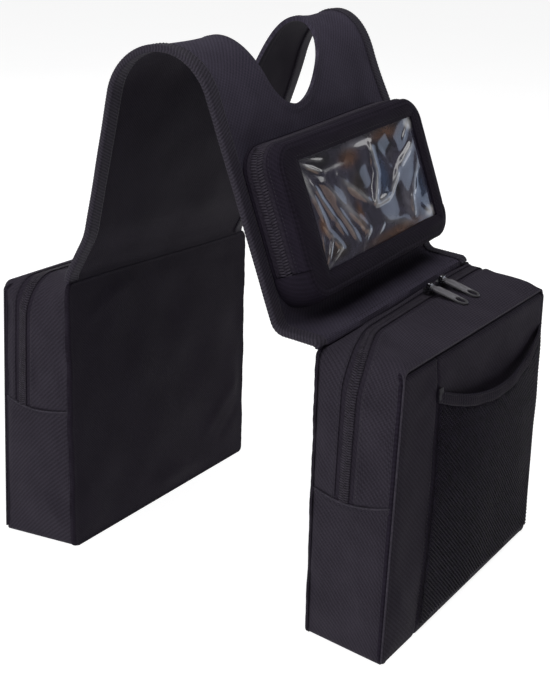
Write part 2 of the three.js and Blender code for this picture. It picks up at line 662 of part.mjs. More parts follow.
function addPhonePouch() {
  const wallTop = PHONE_DEPTH - PHONE_CLOTH - FIT;
  const zip = zipSection(PHONE_ZIP_DEPTH, ZIP_TAPE);
  const base = plainSection(0, PHONE_ZIP_DEPTH - ZIP_TAPE / 2, 1);
  const strip = plainSection(PHONE_ZIP_DEPTH + ZIP_TAPE / 2, wallTop, 2);
  addMesh('phone_base_strip', phoneWall(phoneTopRun, base, PHONE_CLOTH), 'cloth');
  addMesh('phone_zipper', phoneWall(phoneTopRun, zip, TAPE_CLOTH), 'coil');
  addMesh('phone_face_strip', phoneWall(phoneTopRun, strip, PHONE_CLOTH), 'cloth');
  addMesh('phone_bottom_wall', phoneWall(phoneBottomRun, plainSection(0, wallTop, 3), PHONE_CLOTH), 'cloth');
  addMesh('phone_face', phoneFace(), 'cloth');
  addMesh('phone_window', phoneWindow(), 'film');
  addPhoneSlider();
}

addYoke();
addPhonePouch();
for (const pouch of POUCHES) addPouch(pouch);

export default bag;
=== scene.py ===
from math import asin, atan2, copysign, cos, pi, radians, sin, sqrt, tan

import bpy
import numpy as np
from mathutils import Matrix, Vector


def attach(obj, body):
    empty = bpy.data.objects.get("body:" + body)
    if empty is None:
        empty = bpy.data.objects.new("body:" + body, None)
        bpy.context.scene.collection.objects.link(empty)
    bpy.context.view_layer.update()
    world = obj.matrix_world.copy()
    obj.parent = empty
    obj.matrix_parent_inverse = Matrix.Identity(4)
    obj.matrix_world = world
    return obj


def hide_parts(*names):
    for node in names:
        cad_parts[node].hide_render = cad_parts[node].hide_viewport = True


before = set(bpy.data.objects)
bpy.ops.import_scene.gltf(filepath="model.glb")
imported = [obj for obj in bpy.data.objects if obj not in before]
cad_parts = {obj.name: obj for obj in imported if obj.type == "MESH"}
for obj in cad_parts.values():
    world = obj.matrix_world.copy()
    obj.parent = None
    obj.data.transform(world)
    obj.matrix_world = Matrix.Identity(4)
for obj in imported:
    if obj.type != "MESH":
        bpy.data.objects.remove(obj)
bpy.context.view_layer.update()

# Looks of the tank saddle bag. Lengths are in millimetres, as in the part's source, until a mesh is made.
MM = 0.001

# Sizes from the part's source
CLOTH = 2.0
FIT = 0.3
POUCH_WIDTH, POUCH_HEIGHT, POUCH_DEPTH = 276.0, 250.0, 78.0
HALF_POUCH = POUCH_WIDTH / 2
BACK_SEAM = CLOTH + FIT
OUTER_SEAM = POUCH_DEPTH - BACK_SEAM
TANK_SPACE = 252.0
PANEL_TOP_RADIUS, PANEL_BOTTOM_RADIUS = 8.0, 5.0
GUSSET_FRONT_RADIUS, GUSSET_REAR_RADIUS = 36.0, 16.0
GUSSET_SEAM_HEIGHT = 134.0
OUTER_BELLY, END_BELLY, SPREAD = 6.0, 4.0, 11.0
ZIP_TAPE, TAPE_DROP, TAPE_CLOTH = 18.0, 0.6, 1.2
TUCK_LOW, TUCK_FRONT, TUCK_FULL = 205.0, -140.0, -62.0
OUTER_SEAM_Y = -82.0
POCKET_MARGIN, POCKET_BOTTOM, POCKET_STAND = 3.0, 7.0, 7.5
POCKET_LEFT = OUTER_SEAM_Y + POCKET_MARGIN
POCKET_RIGHT = HALF_POUCH - POCKET_MARGIN
MOUTH_MIDDLE_Y, MOUTH_LOW, MOUTH_BOW, MOUTH_BAND = 30.0, 194.0, 0.002, 11.0
YOKE_SHEET, YOKE_HALF_WIDTH, YOKE_MIDDLE_Y = 3.0, 133.0, -5.0
SEAM_X = TANK_SPACE / 2 + CLOTH / 2
SEAM_Z = POUCH_HEIGHT + FIT
YOKE_CORNERS = [(-SEAM_X, SEAM_Z), (-SEAM_X, 256, 16), (-104, 297, 60), (-39.5, 602.7, 51), (89.5, 257.5, 12),
                (SEAM_X, 254.6, 3), (SEAM_X, SEAM_Z)]
CREASE_TURN = 3
CROWN_LIFT = (-4.0, 9.0)
PINCH_SHARE, PINCH_FAR_LOW, PINCH_NEAR_LOW, PINCH_TOP = 0.3, 300.0, 375.0, 465.0
EDGE_TAPE_WIDTH, EDGE_TAPE_CLOTH, EDGE_TAPE_END = 12.0, 1.2, 2.0
HOLE_HALF_LENGTH, HOLE_HALF_WIDTH = 94.0, 56.0
HOLE_TO_FAR, HOLE_MIDDLE_Y, HOLE_TURN = 3.0, 1.0, radians(-20)
PHONE_WIDTH, PHONE_HEIGHT, PHONE_DEPTH = 240.0, 137.0, 30.0
PHONE_CORNER, PHONE_ROLL, PHONE_LEAN, PHONE_SEAM = 26.0, 5.0, 9.0, 30.0
PHONE_CLOTH, PHONE_CROWN = 1.8, 2.5
PHONE_ZIP_DEPTH, PHONE_ABOVE_CREASE = 12.0, 2.0
WINDOW_LEFT, WINDOW_RIGHT, WINDOW_BOTTOM, WINDOW_TOP = -86.0, 100.0, 23.0, 116.0
WINDOW_OVERLAP = 6.0
# lift is how far the inner top edge rises at the front and at the rear
POUCHES = {
    "near": {"side": 1, "zip": 0.44, "tuck": 21.0, "lift": (1.0, 11.0), "outer": 0.0},
    "far": {"side": -1, "zip": 0.68, "tuck": 0.0, "lift": (7.0, 0.0), "outer": -4.0},
}

# Sewing details that only the looks have
# FINE, EDGE_STEP and COARSE are distances between points: by a fold, by an edge and on open cloth
FINE, EDGE_STEP, COARSE = 0.8, 0.9, 2.8
BACK_LIP, OUTER_LIP = 0.9, -0.8
OUTER_TOP = POUCH_HEIGHT - 4.0
OUTER_CORNER = 4.5
SEAM_CORD = 0.9
RIM = 0.8
LIP_THICK, LIP_BAND, LIP_RISE = 2.8, 4.0, 0.35
GROOVE, BACK_GROOVE = 1.5, 0.7
SHOULDER, SHOULDER_BAND = 1.8, 10.0
FOLD_RISE, FOLD_BAND = 0.6, 2.4
SEAM_LIP = 1.2
ZIP_TUCK = 9.0
# Half width and pitch of a zip's teeth
POUCH_COIL, PHONE_COIL = (4.6, 2.1), (5.6, 2.4)
PUCKER, PUCKER_PITCH = 0.34, 10.5
RIB_PITCH, RIB_SLANT, RIB_RISE = 2.9, 5.5, 0.09
STITCH_PITCH, STITCH_LENGTH, STITCH_WIDTH = 3.4, 2.5, 0.62
STITCH_RISE = 0.15
PHONE_STITCH_PITCH, PHONE_STITCH_LENGTH = 3.0, 2.2
# How far stitches lie from the fold, the seam or the edge that they hold
ZIP_SEW, PHONE_ZIP_SEW, LOWER_SEW, PANEL_SEW = 2.2, 2.0, 2.4, 3.2
BINDING_SEW, HEM_SEW, WINDOW_SEW, YOKE_FAR_SEW, YOKE_NEAR_SEW = 2.0, 4.6, 3.4, 6.0, 7.0
YOKE_SEAM_HALF = 119.0
HEM_RISE = 0.55
LOWER_BACK_RISE, LOWER_OUTER_RISE, LOWER_SAG = 1.6, 4.5, 5.5
TAPE_HIDDEN = 2.0
TACK_ROWS, TACK_PITCH, TACK_RADIUS, TACK_STAND = 9, 1.1, 0.5, 2.6
SLIDER_ROUNDING = 0.8
NET_PITCH, NET_RADIUS, NET_SHARE = 2.7, 0.4, 0.86
UV_SCALE = 0.01
SHARP_CLOTH, SHARP_METAL = radians(55), radians(35)


# Shapes

def ease(x, low, high):
    """A soft step: 0 below low and 1 above high."""
    t = np.clip((x - low) / (high - low), 0.0, 1.0)
    return t * t * (3 - 2 * t)


def fade(x, low, high):
    return 1 - ease(x, low, high)


def hump(x, middle, width):
    return np.exp(-(((x - middle) / width) ** 2))


def turned(a, b, angle):
    """A place turned about the origin."""
    c, s = cos(angle), sin(angle)
    return np.array([a * c - b * s, a * s + b * c])


def unit(rows):
    return rows / np.linalg.norm(rows, axis=1)[:, None]


def steps(*marks):
    """Places from the first mark to the last: value, spacing, value, spacing, value."""
    places = [float(marks[0])]
    for spacing, stop in zip(marks[1::2], marks[2::2]):
        count = max(1, round(abs(stop - places[-1]) / spacing))
        places.extend(np.linspace(places[-1], stop, count + 1)[1:])
    return np.array(places)


def ripples(u, v, table):
    """Soft waves over a cloth: rows of wavelength, heading in degrees, phase and height."""
    total = np.zeros(np.broadcast(u, v).shape)
    for length, heading, phase, height in table:
        along, beside = turned(u, v, -radians(heading))
        swell = 0.6 + 0.4 * np.sin(2 * pi * beside / (2.7 * length) + 2 * phase)
        total = total + height * swell * np.sin(2 * pi * along / length + phase)
    return total


def folds(u, v, table):
    """Soft ridges along segments: rows of start u, v, end u, v, width and height, which may be negative."""
    total = np.zeros(np.broadcast(u, v).shape)
    for u0, v0, u1, v1, width, height in table:
        span = np.array([u1 - u0, v1 - v0])
        share = ((u - u0) * span[0] + (v - v0) * span[1]) / (span @ span)
        nearest = np.clip(share, 0, 1)
        away = np.hypot(u - u0 - nearest * span[0], v - v0 - nearest * span[1])
        total = total + height * ease(share, -0.15, 0.25) * fade(share, 0.75, 1.15) * hump(away, 0, width)
    return total


def puckers(along, away):
    """Small gathers that fade out from a seam."""
    wander = 1.3 * np.sin(along / 29.0) + 0.8 * np.sin(along / 13.0 + 1.0)
    size = PUCKER * (0.65 + 0.35 * np.sin(along / 47.0))
    return size * np.sin(2 * pi * along / PUCKER_PITCH + wander) * np.exp(-away / 6.0) * ease(away, 0.3, 2.5)


def quarter_round(short, radius):
    """How far a rolled edge has turned away, for a share of its radius."""
    return radius * (1 - np.sqrt(1 - np.clip(short, 0, 1) ** 2))


def rounded_run(corners, runs, turn):
    """Rows of a, b, heading and distance along straight runs. Each corner has a, b and a radius."""
    points = [np.array(corner[:2], float) for corner in corners]
    rows = []
    turns = []
    start = points[0]
    first = points[1] - points[0]
    heading = atan2(first[1], first[0])
    for k in range(1, len(points)):
        into = np.array([cos(heading), sin(heading)])
        last = k == len(points) - 1
        bend = 0.0
        reach = 0.0
        if not last:
            out = points[k + 1] - points[k]
            bend = atan2(into[0] * out[1] - into[1] * out[0], into @ out)
            reach = corners[k][2] * tan(abs(bend) / 2)
        entry = points[k] - into * reach
        for share in np.linspace(0, 1, runs[k - 1], endpoint=False):
            rows.append((*(start + (entry - start) * share), heading))
        if last:
            rows.append((*entry, heading))
            break
        turns.append(len(rows))
        centre = entry + np.array([-into[1], into[0]]) * copysign(corners[k][2], bend)
        for angle in np.linspace(0, bend, turn + 1):
            start = centre + turned(*(entry - centre), angle)
            rows.append((*start, heading + angle))
        rows.pop()
        heading += bend
    run = np.array(rows)
    gaps = np.hypot(np.diff(run[:, 0]), np.diff(run[:, 1]))
    return np.column_stack([run, np.concatenate([[0.0], np.cumsum(gaps)])]), turns


def stack_runs(corner_rows, runs, turn):
    return np.stack([rounded_run(corners, runs, turn)[0] for corners in corner_rows])


def set_out(runs, offset):
    """Places beside each run, to its left by some millimetres."""
    return runs[..., 0] - np.sin(runs[..., 2]) * offset, runs[..., 1] + np.cos(runs[..., 2]) * offset


def from_ends(along):
    return np.minimum(along, along[:, -1:] - along)


def half_width(z, half, bottom, top, low_radius, high_radius):
    under = quarter_round((bottom + low_radius - z) / low_radius, low_radius)
    return half - under - quarter_round((z - top + high_radius) / high_radius, high_radius)


def directions(path):
    """Unit vectors along a line of points."""
    return unit(np.gradient(path, axis=0))


def resample(path, pitch, *others):
    """Points at an even pitch along a line, with other rows of vectors carried along."""
    gaps = np.linalg.norm(np.diff(path, axis=0), axis=1)
    far = np.concatenate([[0.0], np.cumsum(gaps)])
    places = np.linspace(0, far[-1], max(2, round(far[-1] / pitch) + 1))
    return [np.stack([np.interp(places, far, row[:, k]) for k in range(3)], -1) for row in (path, *others)]


def sewing_line(surface, a, b, rise, side=1):
    """A line on a surface, with its outward normals."""
    path = surface(a, b, rise)
    return path, surface(a, b, rise + side) - path


# Pieces

def link_object(name, data):
    thing = bpy.data.objects.new(name, data)
    bpy.context.scene.collection.objects.link(thing)
    return thing


def new_piece(name, points, faces, material, node=None, uv=None, body="bag"):
    """A smooth piece from points in millimetres, with a flat map of its cloth, that stands for a CAD node."""
    mesh = bpy.data.meshes.new(name)
    mesh.from_pydata((points * MM).tolist(), [], faces)
    if uv is not None:
        corner = np.zeros(len(mesh.loops), np.int32)
        mesh.loops.foreach_get("vertex_index", corner)
        layer = mesh.uv_layers.new(name="flat")
        layer.data.foreach_set("uv", (uv[corner] * UV_SCALE).astype(np.float32).ravel())
    mesh.shade_smooth()
    mesh.materials.append(material)
    piece = link_object(name, mesh)
    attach(piece, body)
    if node:
        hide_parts(node)
    return piece


def second_material(piece, material, chosen):
    """Give a slice of a piece's faces another material."""
    piece.data.materials.append(material)
    slots = np.zeros(len(piece.data.polygons), np.int32)
    slots[chosen] = 1
    piece.data.polygons.foreach_set("material_index", slots)


def paint_light(piece, colours):
    """Store painted light, a colour on each point of a piece, which its material reads."""
    rows = np.column_stack([colours, np.ones(len(colours))]).astype(np.float32)
    piece.data.attributes.new("painted_light", "FLOAT_COLOR", "POINT").data.foreach_set("color", rows.ravel())


def closed_sheet(name, node, faces, outer, inner, flat, material):
    """A closed piece of cloth between its outer and inner points, with a rim along each open edge."""
    outer, inner, flat = outer.reshape(-1, 3), inner.reshape(-1, 3), flat.reshape(-1, 2)
    count = len(outer)
    a, b, c = (outer[faces[:, k]] for k in range(3))
    facing = np.einsum("ij,ij->i", np.cross(b - a, c - a), (outer - inner)[faces[:, 0]]).sum()
    if facing < 0:
        faces = faces[:, ::-1]
    sides = np.concatenate([faces[:, [k, (k + 1) % 4]] for k in range(4)])
    _, where, uses = np.unique(np.sort(sides, axis=1), axis=0, return_inverse=True, return_counts=True)
    tail, head = sides[uses[where.ravel()] == 1].T
    rim = np.stack([head, tail, tail + count, head + count], -1)
    quads = np.concatenate([faces, faces[:, ::-1] + count, rim]).tolist()
    points = np.concatenate([outer, inner])
    piece = new_piece(name, points, quads, material, node, np.concatenate([flat, flat]))
    piece.data.set_sharp_from_angle(angle=SHARP_CLOTH)
    return piece


def grid_faces(rows, columns):
    index = np.arange(rows * columns).reshape(rows, columns)
    corners = [index[:-1, :-1], index[:-1, 1:], index[1:, 1:], index[1:, :-1]]
    return np.stack([c.ravel() for c in corners], -1)


def flat_map(u, v):
    return np.stack(np.broadcast_arrays(u, v), -1)


def grid_sheet(name, node, slot, outer, inner, u, v, material):
    """A closed sheet on a grid of points, with its flat places."""
    faces = grid_faces(*outer.shape[:2])
    return closed_sheet(name, node, faces, outer, inner, flat_map(u, v), material)


def small_hulls(name, hulls, material, node=None):
    """One piece of many small closed forms, each given as points and faces."""
    faces = []
    start = 0
    for points, sides in hulls:
        faces.extend([tuple(start + corner for corner in side) for side in sides])
        start += len(points)
    return new_piece(name, np.concatenate([points for points, _ in hulls]), faces, material, node)


def tube_faces(rings, sides):
    """The faces of a closed tube through rings of points."""
    index = np.arange(rings * sides).reshape(rings, sides)
    after = np.roll(index, -1, axis=1)
    quads = np.stack([index[:-1], after[:-1], after[1:], index[1:]], -1).reshape(-1, 4)
    return [*quads.tolist(), index[0][::-1].tolist(), index[-1].tolist()]


def strands(name, lines, radius, material, node=None, sides=4):
    """Thin round threads along many lines of points, each with its outward normals."""
    angles = 2 * pi * (np.arange(sides) + 0.5) / sides
    hulls = []
    for path, normal in lines:
        side = unit(np.cross(normal, directions(path)))
        ring = [path + radius * (side * cos(t) + normal * sin(t)) for t in angles]
        hulls.append((np.stack(ring, 1).reshape(-1, 3), tube_faces(len(path), sides)))
    return small_hulls(name, hulls, material, node)


def stitch_rows(name, rows, pitch=STITCH_PITCH, length=STITCH_LENGTH):
    """Sewing thread: small spindles that lie along each line, given as points and outward normals."""
    shape = np.array([[-1, 0, -0.5], [0, 1, 0], [0, 0, 1], [0, -1, 0], [0, 0, -0.8], [1, 0, -0.5]])
    shape = shape * [length / 2, STITCH_WIDTH / 2, STITCH_WIDTH / 2]
    sides = [(0, 2, 1), (0, 3, 2), (0, 4, 3), (0, 1, 4), (5, 1, 2), (5, 2, 3), (5, 3, 4), (5, 4, 1)]
    hulls = []
    for path, normal in rows:
        centre, up = resample(path, pitch, normal)
        up = unit(up)
        ahead = directions(centre)
        for place, *axes in zip(centre, ahead, np.cross(up, ahead), up):
            hulls.append((place + shape @ np.stack(axes), sides))
    small_hulls(name, hulls, thread)


def coil_teeth(name, centre, across, half, pitch):
    """A zip's coil: two rows of slanted teeth that meet on the zip line."""
    middle, side, out = resample(centre, pitch, across, np.cross(directions(centre), across))
    side, out = unit(side), unit(out)
    low, high = -0.5, 0.2
    # Each tooth has sections from the zip line outwards: reach, rise and half length
    sections = ((-0.12, 0.5, 0.3), (0.25, 0.95, 0.4), (0.7, 1.0, 0.42), (1.0, 0.3, 0.36))
    sides = tube_faces(len(sections), 4)
    hulls = []
    for hand in (-1, 1):
        for k, ahead in enumerate(directions(middle) * pitch):
            tooth = []
            for reach, rise, thick in sections:
                spot = middle[k] + ahead * (0.25 * hand + 0.35 * reach) + side[k] * hand * half * reach
                top = low + (high - low) * rise
                for length, height in ((-thick, low), (thick, low), (thick * 0.6, top), (-thick * 0.6, top)):
                    tooth.append(spot + ahead * length + out[k] * height)
            hulls.append((np.array(tooth), [face[::hand] for face in sides]))
    small_hulls(name, hulls, coil)


# Materials

def fill(socket, value):
    """Set a socket to a constant, or link another socket to it."""
    if isinstance(value, bpy.types.NodeSocket):
        socket.id_data.links.new(value, socket)
    else:
        socket.default_value = value


def feed(node, **values):
    """Fill a node's inputs by name."""
    for name, value in values.items():
        fill(node.inputs[name.replace("_", " ")], value)
    return node


def add_node(tree, kind, **settings):
    node = tree.nodes.new(f"ShaderNode{kind}")
    for name, value in settings.items():
        setattr(node, name, value)
    return node


def math_node(tree, operation, *values):
    node = add_node(tree, "Math", operation=operation)
    for socket, value in zip(node.inputs, values):
        fill(socket, value)
    return node.outputs[0]


def weighted(tree, *pairs):
    """The sum of some values, each times its weight."""
    total = 0.0
    for value, weight in pairs:
        total = math_node(tree, "MULTIPLY_ADD", value, weight, total)
    return total


def ramp_node(tree, factor, low, high, dark, light):
    node = feed(add_node(tree, "ValToRGB"), Fac=factor)
    for element, position, colour in zip(node.color_ramp.elements, (low, high), (dark, light)):
        element.position = position
        element.color = (*colour, 1)
    return node.outputs["Color"]


def new_material(name):
    material = bpy.data.materials.new(name)
    material.use_nodes = True
    tree = material.node_tree
    tree.nodes.clear()
    shader = add_node(tree, "BsdfPrincipled")
    feed(add_node(tree, "OutputMaterial"), Surface=shader.outputs["BSDF"])
    return material, tree, shader


def flat_place(tree):
    return add_node(tree, "UVMap", uv_map="flat").outputs["UV"]


def own_place(tree):
    return add_node(tree, "TexCoord").outputs["Object"]


def bands(tree, place, direction, period):
    """A sine pattern with a period in millimetres on the flat map."""
    wave = add_node(tree, "TexWave", wave_type="BANDS", bands_direction=direction, wave_profile="SIN")
    return feed(wave, Vector=place, Scale=pi / (10 * period * UV_SCALE), Distortion=0.0).outputs["Fac"]


def noise(tree, place, size, detail, **more):
    texture = add_node(tree, "TexNoise")
    return feed(texture, Vector=place, Scale=1 / size, Detail=detail, **more).outputs["Fac"]


def between(tree, value, low, high):
    return feed(add_node(tree, "MapRange"), Value=value, To_Min=low, To_Max=high).outputs["Result"]


def relief(tree, height, strength, distance):
    bump = feed(add_node(tree, "Bump"), Height=height, Strength=strength, Distance=distance * MM)
    return bump.outputs["Normal"]


def times_painted_light(tree, colour):
    """A colour times the painted light that is stored on each point."""
    mixed = add_node(tree, "Mix", data_type="RGBA", blend_type="MULTIPLY")
    painted_light = add_node(tree, "Attribute", attribute_name="painted_light").outputs["Color"]
    for place, value in ((0, 1.0), (6, painted_light), (7, colour)):
        fill(mixed.inputs[place], value)
    return mixed.outputs[2]


def woven_material(name, dark, light, sheen, yarn=1.2, twill=2.2, rough=(0.62, 0.86), strength=0.6):
    """Woven cloth: crossing yarns with a diagonal rib, patches of wear and small shade changes."""
    material, tree, shader = new_material(name)
    flat = flat_place(tree)
    warp, weft = (bands(tree, flat, direction, yarn) for direction in "XY")
    rib = bands(tree, flat, "DIAGONAL", twill)
    weave = math_node(tree, "MULTIPLY_ADD", rib, 0.42, math_node(tree, "MULTIPLY", warp, weft))
    cloud = noise(tree, flat, 34.0 * UV_SCALE, 4.0)
    grain = noise(tree, flat, 1.3 * UV_SCALE, 2.0, Roughness=0.7)
    shade = weighted(tree, (weave, 0.42), (grain, 0.4), (cloud, 0.34))
    feed(shader, Base_Color=ramp_node(tree, shade, 0.3, 0.95, dark, light),
         Roughness=between(tree, shade, rough[1], rough[0]),
         Normal=relief(tree, weighted(tree, (weave, 1.0), (grain, 0.5)), strength, 0.35),
         Sheen_Weight=sheen, Sheen_Roughness=0.45, Sheen_Tint=(0.9, 0.8, 1.0, 1), Specular_IOR_Level=0.06)
    return material


def ribbed_material(name, dark, light):
    """Ribbed tape: slanting ribs that meet along the middle of the tape, lighter on their crests."""
    material, tree, shader = new_material(name)
    flat = flat_place(tree)
    split = feed(add_node(tree, "SeparateXYZ"), Vector=flat)
    slant = math_node(tree, "ABSOLUTE", split.outputs["Y"])
    turns = weighted(tree, (split.outputs["X"], 2 * pi / (RIB_PITCH * UV_SCALE)),
                     (slant, 2 * pi / (RIB_SLANT * UV_SCALE)))
    grain = noise(tree, flat, 1.1 * UV_SCALE, 2.0, Roughness=0.7)
    shade = weighted(tree, (math_node(tree, "SINE", turns), 0.2), (grain, 0.9))
    feed(shader, Base_Color=ramp_node(tree, shade, 0.15, 0.85, dark, light), Roughness=0.6,
         Normal=relief(tree, shade, 0.6, 0.4), Sheen_Weight=0.03, Sheen_Roughness=0.4, Specular_IOR_Level=0.1)
    return material


def plain_material(name, dark, light, size, rough, metallic=0.0, coat=0.0, specular=0.15, with_painted_light=False):
    """Moulded or painted surface with fine shade changes in its own space."""
    material, tree, shader = new_material(name)
    cloud = noise(tree, own_place(tree), size * MM, 3.0, Roughness=0.6)
    colour = ramp_node(tree, cloud, 0.3, 0.7, dark, light)
    # with_painted_light: the colour is multiplied by the painted light stored on the piece's points
    if with_painted_light:
        colour = times_painted_light(tree, colour)
    feed(shader, Base_Color=colour, Roughness=between(tree, cloud, *rough),
         Normal=relief(tree, cloud, 0.1, 0.2), Metallic=metallic, Coat_Weight=coat, Coat_Roughness=0.12,
         Specular_IOR_Level=specular)
    return material


def film_material(name):
    """Slack vinyl: its colour, from the painted reflections stored on its points, changes softly over the
    sheet and is a little streaked.
    """
    material, tree, shader = new_material(name)
    streak = noise(tree, flat_place(tree), 16.0 * UV_SCALE, 2.0, Distortion=1.4)
    shade = ramp_node(tree, streak, 0.3, 0.7, (0.62, 0.62, 0.64), (1.3, 1.3, 1.28))
    feed(shader, Base_Color=times_painted_light(tree, shade), Roughness=between(tree, streak, 0.05, 0.12),
         Transmission_Weight=0.12, IOR=1.45, Coat_Weight=0.4, Coat_Roughness=0.05)
    return material


cloth = woven_material("woven_cloth", (0.0110, 0.0092, 0.0138), (0.041, 0.0356, 0.0492), 0.02)
# A darker copy of the cloth: painted shade for the outer panels and the phone pouch's walls
panel_cloth_painted_shade = woven_material("panel_cloth_painted_shade", (0.0054, 0.0040, 0.0074), (0.0190, 0.0148, 0.0255), 0.01)
# A still darker copy of the cloth for the phone pouch's face, which faces up: painted shade
face_cloth_painted_shade = woven_material("face_cloth_painted_shade", (0.0048, 0.0035, 0.0066), (0.0160, 0.0122, 0.0215), 0.01)
# A lighter copy of the cloth for the yoke's outer face: painted light
yoke_cloth = woven_material("yoke_cloth", (0.0150, 0.0128, 0.0208), (0.0570, 0.0500, 0.0735), 0.02)
# A smoother, darker copy of the cloth: painted shade for the back panels and the yoke's underside
lining_painted_shade = woven_material("smooth_cloth_painted_shade", (0.0066, 0.0050, 0.0088), (0.0175, 0.0138, 0.0226), 0.01, 0.9, 1.3,
                        (0.6, 0.8), 0.35)
tape = woven_material("binding_tape", (0.0058, 0.0046, 0.0080), (0.0200, 0.0163, 0.0262), 0.02, 0.8, 1.6,
                      (0.5, 0.75), 0.9)
ribbed = ribbed_material("ribbed_tape", (0.0082, 0.0068, 0.0112), (0.041, 0.0355, 0.050))
zip_tape = woven_material("zip_tape", (0.0094, 0.0075, 0.0120), (0.0296, 0.0244, 0.0366), 0.03, 0.7, 2.3,
                          (0.55, 0.8))
thread = plain_material("sewing_thread", (0.016, 0.015, 0.019), (0.046, 0.044, 0.052), 3.0, (0.5, 0.7))
net_thread = plain_material("net_thread", (0.0014, 0.0009, 0.0026), (0.0170, 0.0134, 0.0250), 5.0, (0.5, 0.7),
                            specular=0.06)
coil = plain_material("coil_nylon", (0.0128, 0.0104, 0.0158), (0.0296, 0.0246, 0.0360), 4.0, (0.5, 0.65))
black_metal = plain_material("black_nickel", (0.20, 0.20, 0.215), (0.34, 0.335, 0.36), 5.0, (0.08, 0.16),
                             1.0, 0.3, 0.6)
pull_metal = plain_material("grey_enamel", (0.122, 0.118, 0.130), (0.190, 0.184, 0.200), 4.0, (0.35, 0.5),
                            0.1, 0.1, 0.4, True)
# Lighter than the cloth, so the folded edges show as light lines: painted light
cloth_edge_painted_light = plain_material("cloth_edge_painted_light", (0.020, 0.018, 0.024), (0.046, 0.041, 0.054), 2.0, (0.6, 0.8),
                            specular=0.06)
film = film_material("vinyl_film")


# Pouches

def along_y(ends, y):
    return ends[0] + (ends[1] - ends[0]) * ease(y, -HALF_POUCH, HALF_POUCH)


def tucked_depth(pouch, depth, y, z):
    """Where a line of the gusset lies once the zip has moved towards the yoke along the pouch's top."""
    share = np.clip((depth - BACK_SEAM) / (OUTER_SEAM - BACK_SEAM), 0, 1)
    on_top = ease(z, TUCK_LOW, POUCH_HEIGHT) * ease(y, TUCK_FRONT, TUCK_FULL)
    return depth - pouch["tuck"] * np.sin(pi * share) * on_top


def pouch_point(pouch, depth, y, z):
    return pouch_form(pouch, tucked_depth(pouch, depth, y, z), y, z)


def pouch_form(pouch, depth, y, z):
    """The soft form of a filled pouch, as in the part's source."""
    across = depth / POUCH_DEPTH
    along = np.clip(2 * y / POUCH_WIDTH, -1, 1)
    height = z / POUCH_HEIGHT
    level = np.sin(pi * np.clip(height, 0, 1))
    belly = OUTER_BELLY * across * np.cos(pi / 2 * along) * level
    ends = END_BELLY * along ** 3 * np.sin(pi * np.clip(across, 0, 1)) * level
    spread = SPREAD * along * np.clip(across, 0, 1) * (1 - np.clip(height, 0, 1))
    inner_lift = along_y(pouch["lift"], y)
    lift = (inner_lift + (pouch["outer"] - inner_lift) * across ** 2) * height ** 3
    x = pouch["side"] * (TANK_SPACE / 2 + depth + belly)
    return np.stack(np.broadcast_arrays(x, y + ends + spread, z + lift), -1)


def outward(pouch, count):
    return np.tile([float(pouch["side"]), 0.0, 0.0], (count, 1))


def zip_runs(depths):
    """The lines of the zip gusset, whose top corners are rounder between the panels."""
    foot = GUSSET_SEAM_HEIGHT - ZIP_TUCK
    rows = []
    for depth in depths:
        share = sin(pi * depth / POUCH_DEPTH)
        front, rear = (PANEL_TOP_RADIUS + (radius - PANEL_TOP_RADIUS) * share
                       for radius in (GUSSET_FRONT_RADIUS, GUSSET_REAR_RADIUS))
        rows.append([(-HALF_POUCH, foot), (-HALF_POUCH, POUCH_HEIGHT, front),
                     (HALF_POUCH, POUCH_HEIGHT, rear), (HALF_POUCH, foot)])
    return stack_runs(rows, (34, 72, 34), 16)


def lower_runs(depths):
    """The lines of the lower gusset, whose top edge sags between the panels."""
    rows = []
    for share in depths / POUCH_DEPTH:
        edge = LOWER_BACK_RISE * (1 - share) + LOWER_OUTER_RISE * share - LOWER_SAG * sin(pi * share)
        seam = GUSSET_SEAM_HEIGHT - FIT + edge
        rows.append([(HALF_POUCH, seam), (HALF_POUCH, 0, PANEL_BOTTOM_RADIUS),
                     (-HALF_POUCH, 0, PANEL_BOTTOM_RADIUS), (-HALF_POUCH, seam)])
    return stack_runs(rows, (40, 76, 40), 6)


def gusset_points(pouch, runs, depths, offset):
    return pouch_point(pouch, depths[:, None], *set_out(runs, offset))


def gusset_line(pouch, depth, rise):
    """A line along the zip gusset at one depth, with its outward normals and the vectors across it."""
    depths = np.array([depth - 0.5, depth, depth + 0.5])
    runs = zip_runs(depths)[:, 2:-2]
    path = gusset_points(pouch, runs, depths, rise)
    over = gusset_points(pouch, runs, depths, rise + 1.0)
    return path[1], over[1] - path[1], path[2] - path[0]


GUSSET_RIPPLES = [(64, 12, 0.4, 0.8), (41, 68, 1.7, 0.5), (27, -35, 2.6, 0.3), (95, 95, 0.9, 0.8)]
GUSSET_FOLDS = {
    "near": [(10, 8, 60, 16, 5, 0.9), (70, 6, 105, 20, 4, 0.8), (98, 60, 120, 74, 5, 0.8),
             (118, 8, 150, 22, 6, -1.0), (330, 8, 372, 20, 5, 0.8), (30, 70, 80, 62, 6, 0.7)],
    "far": [(14, 12, 70, 20, 5, 0.8), (90, 8, 120, 24, 5, 0.7), (60, 30, 110, 44, 6, 0.7),
            (400, 10, 440, 24, 5, 0.7)],
}
LOWER_RIPPLES = [(70, 80, 0.2, 1.0), (38, 15, 1.1, 0.5), (52, -50, 2.2, 0.6)]
LOWER_FOLDS = [(420, 10, 452, 34, 5, 0.9), (500, 12, 470, 52, 6, 0.7), (430, 60, 500, 44, 5, 0.6),
               (96, 12, 60, 48, 6, 0.8), (20, 20, 80, 60, 5, 0.6)]


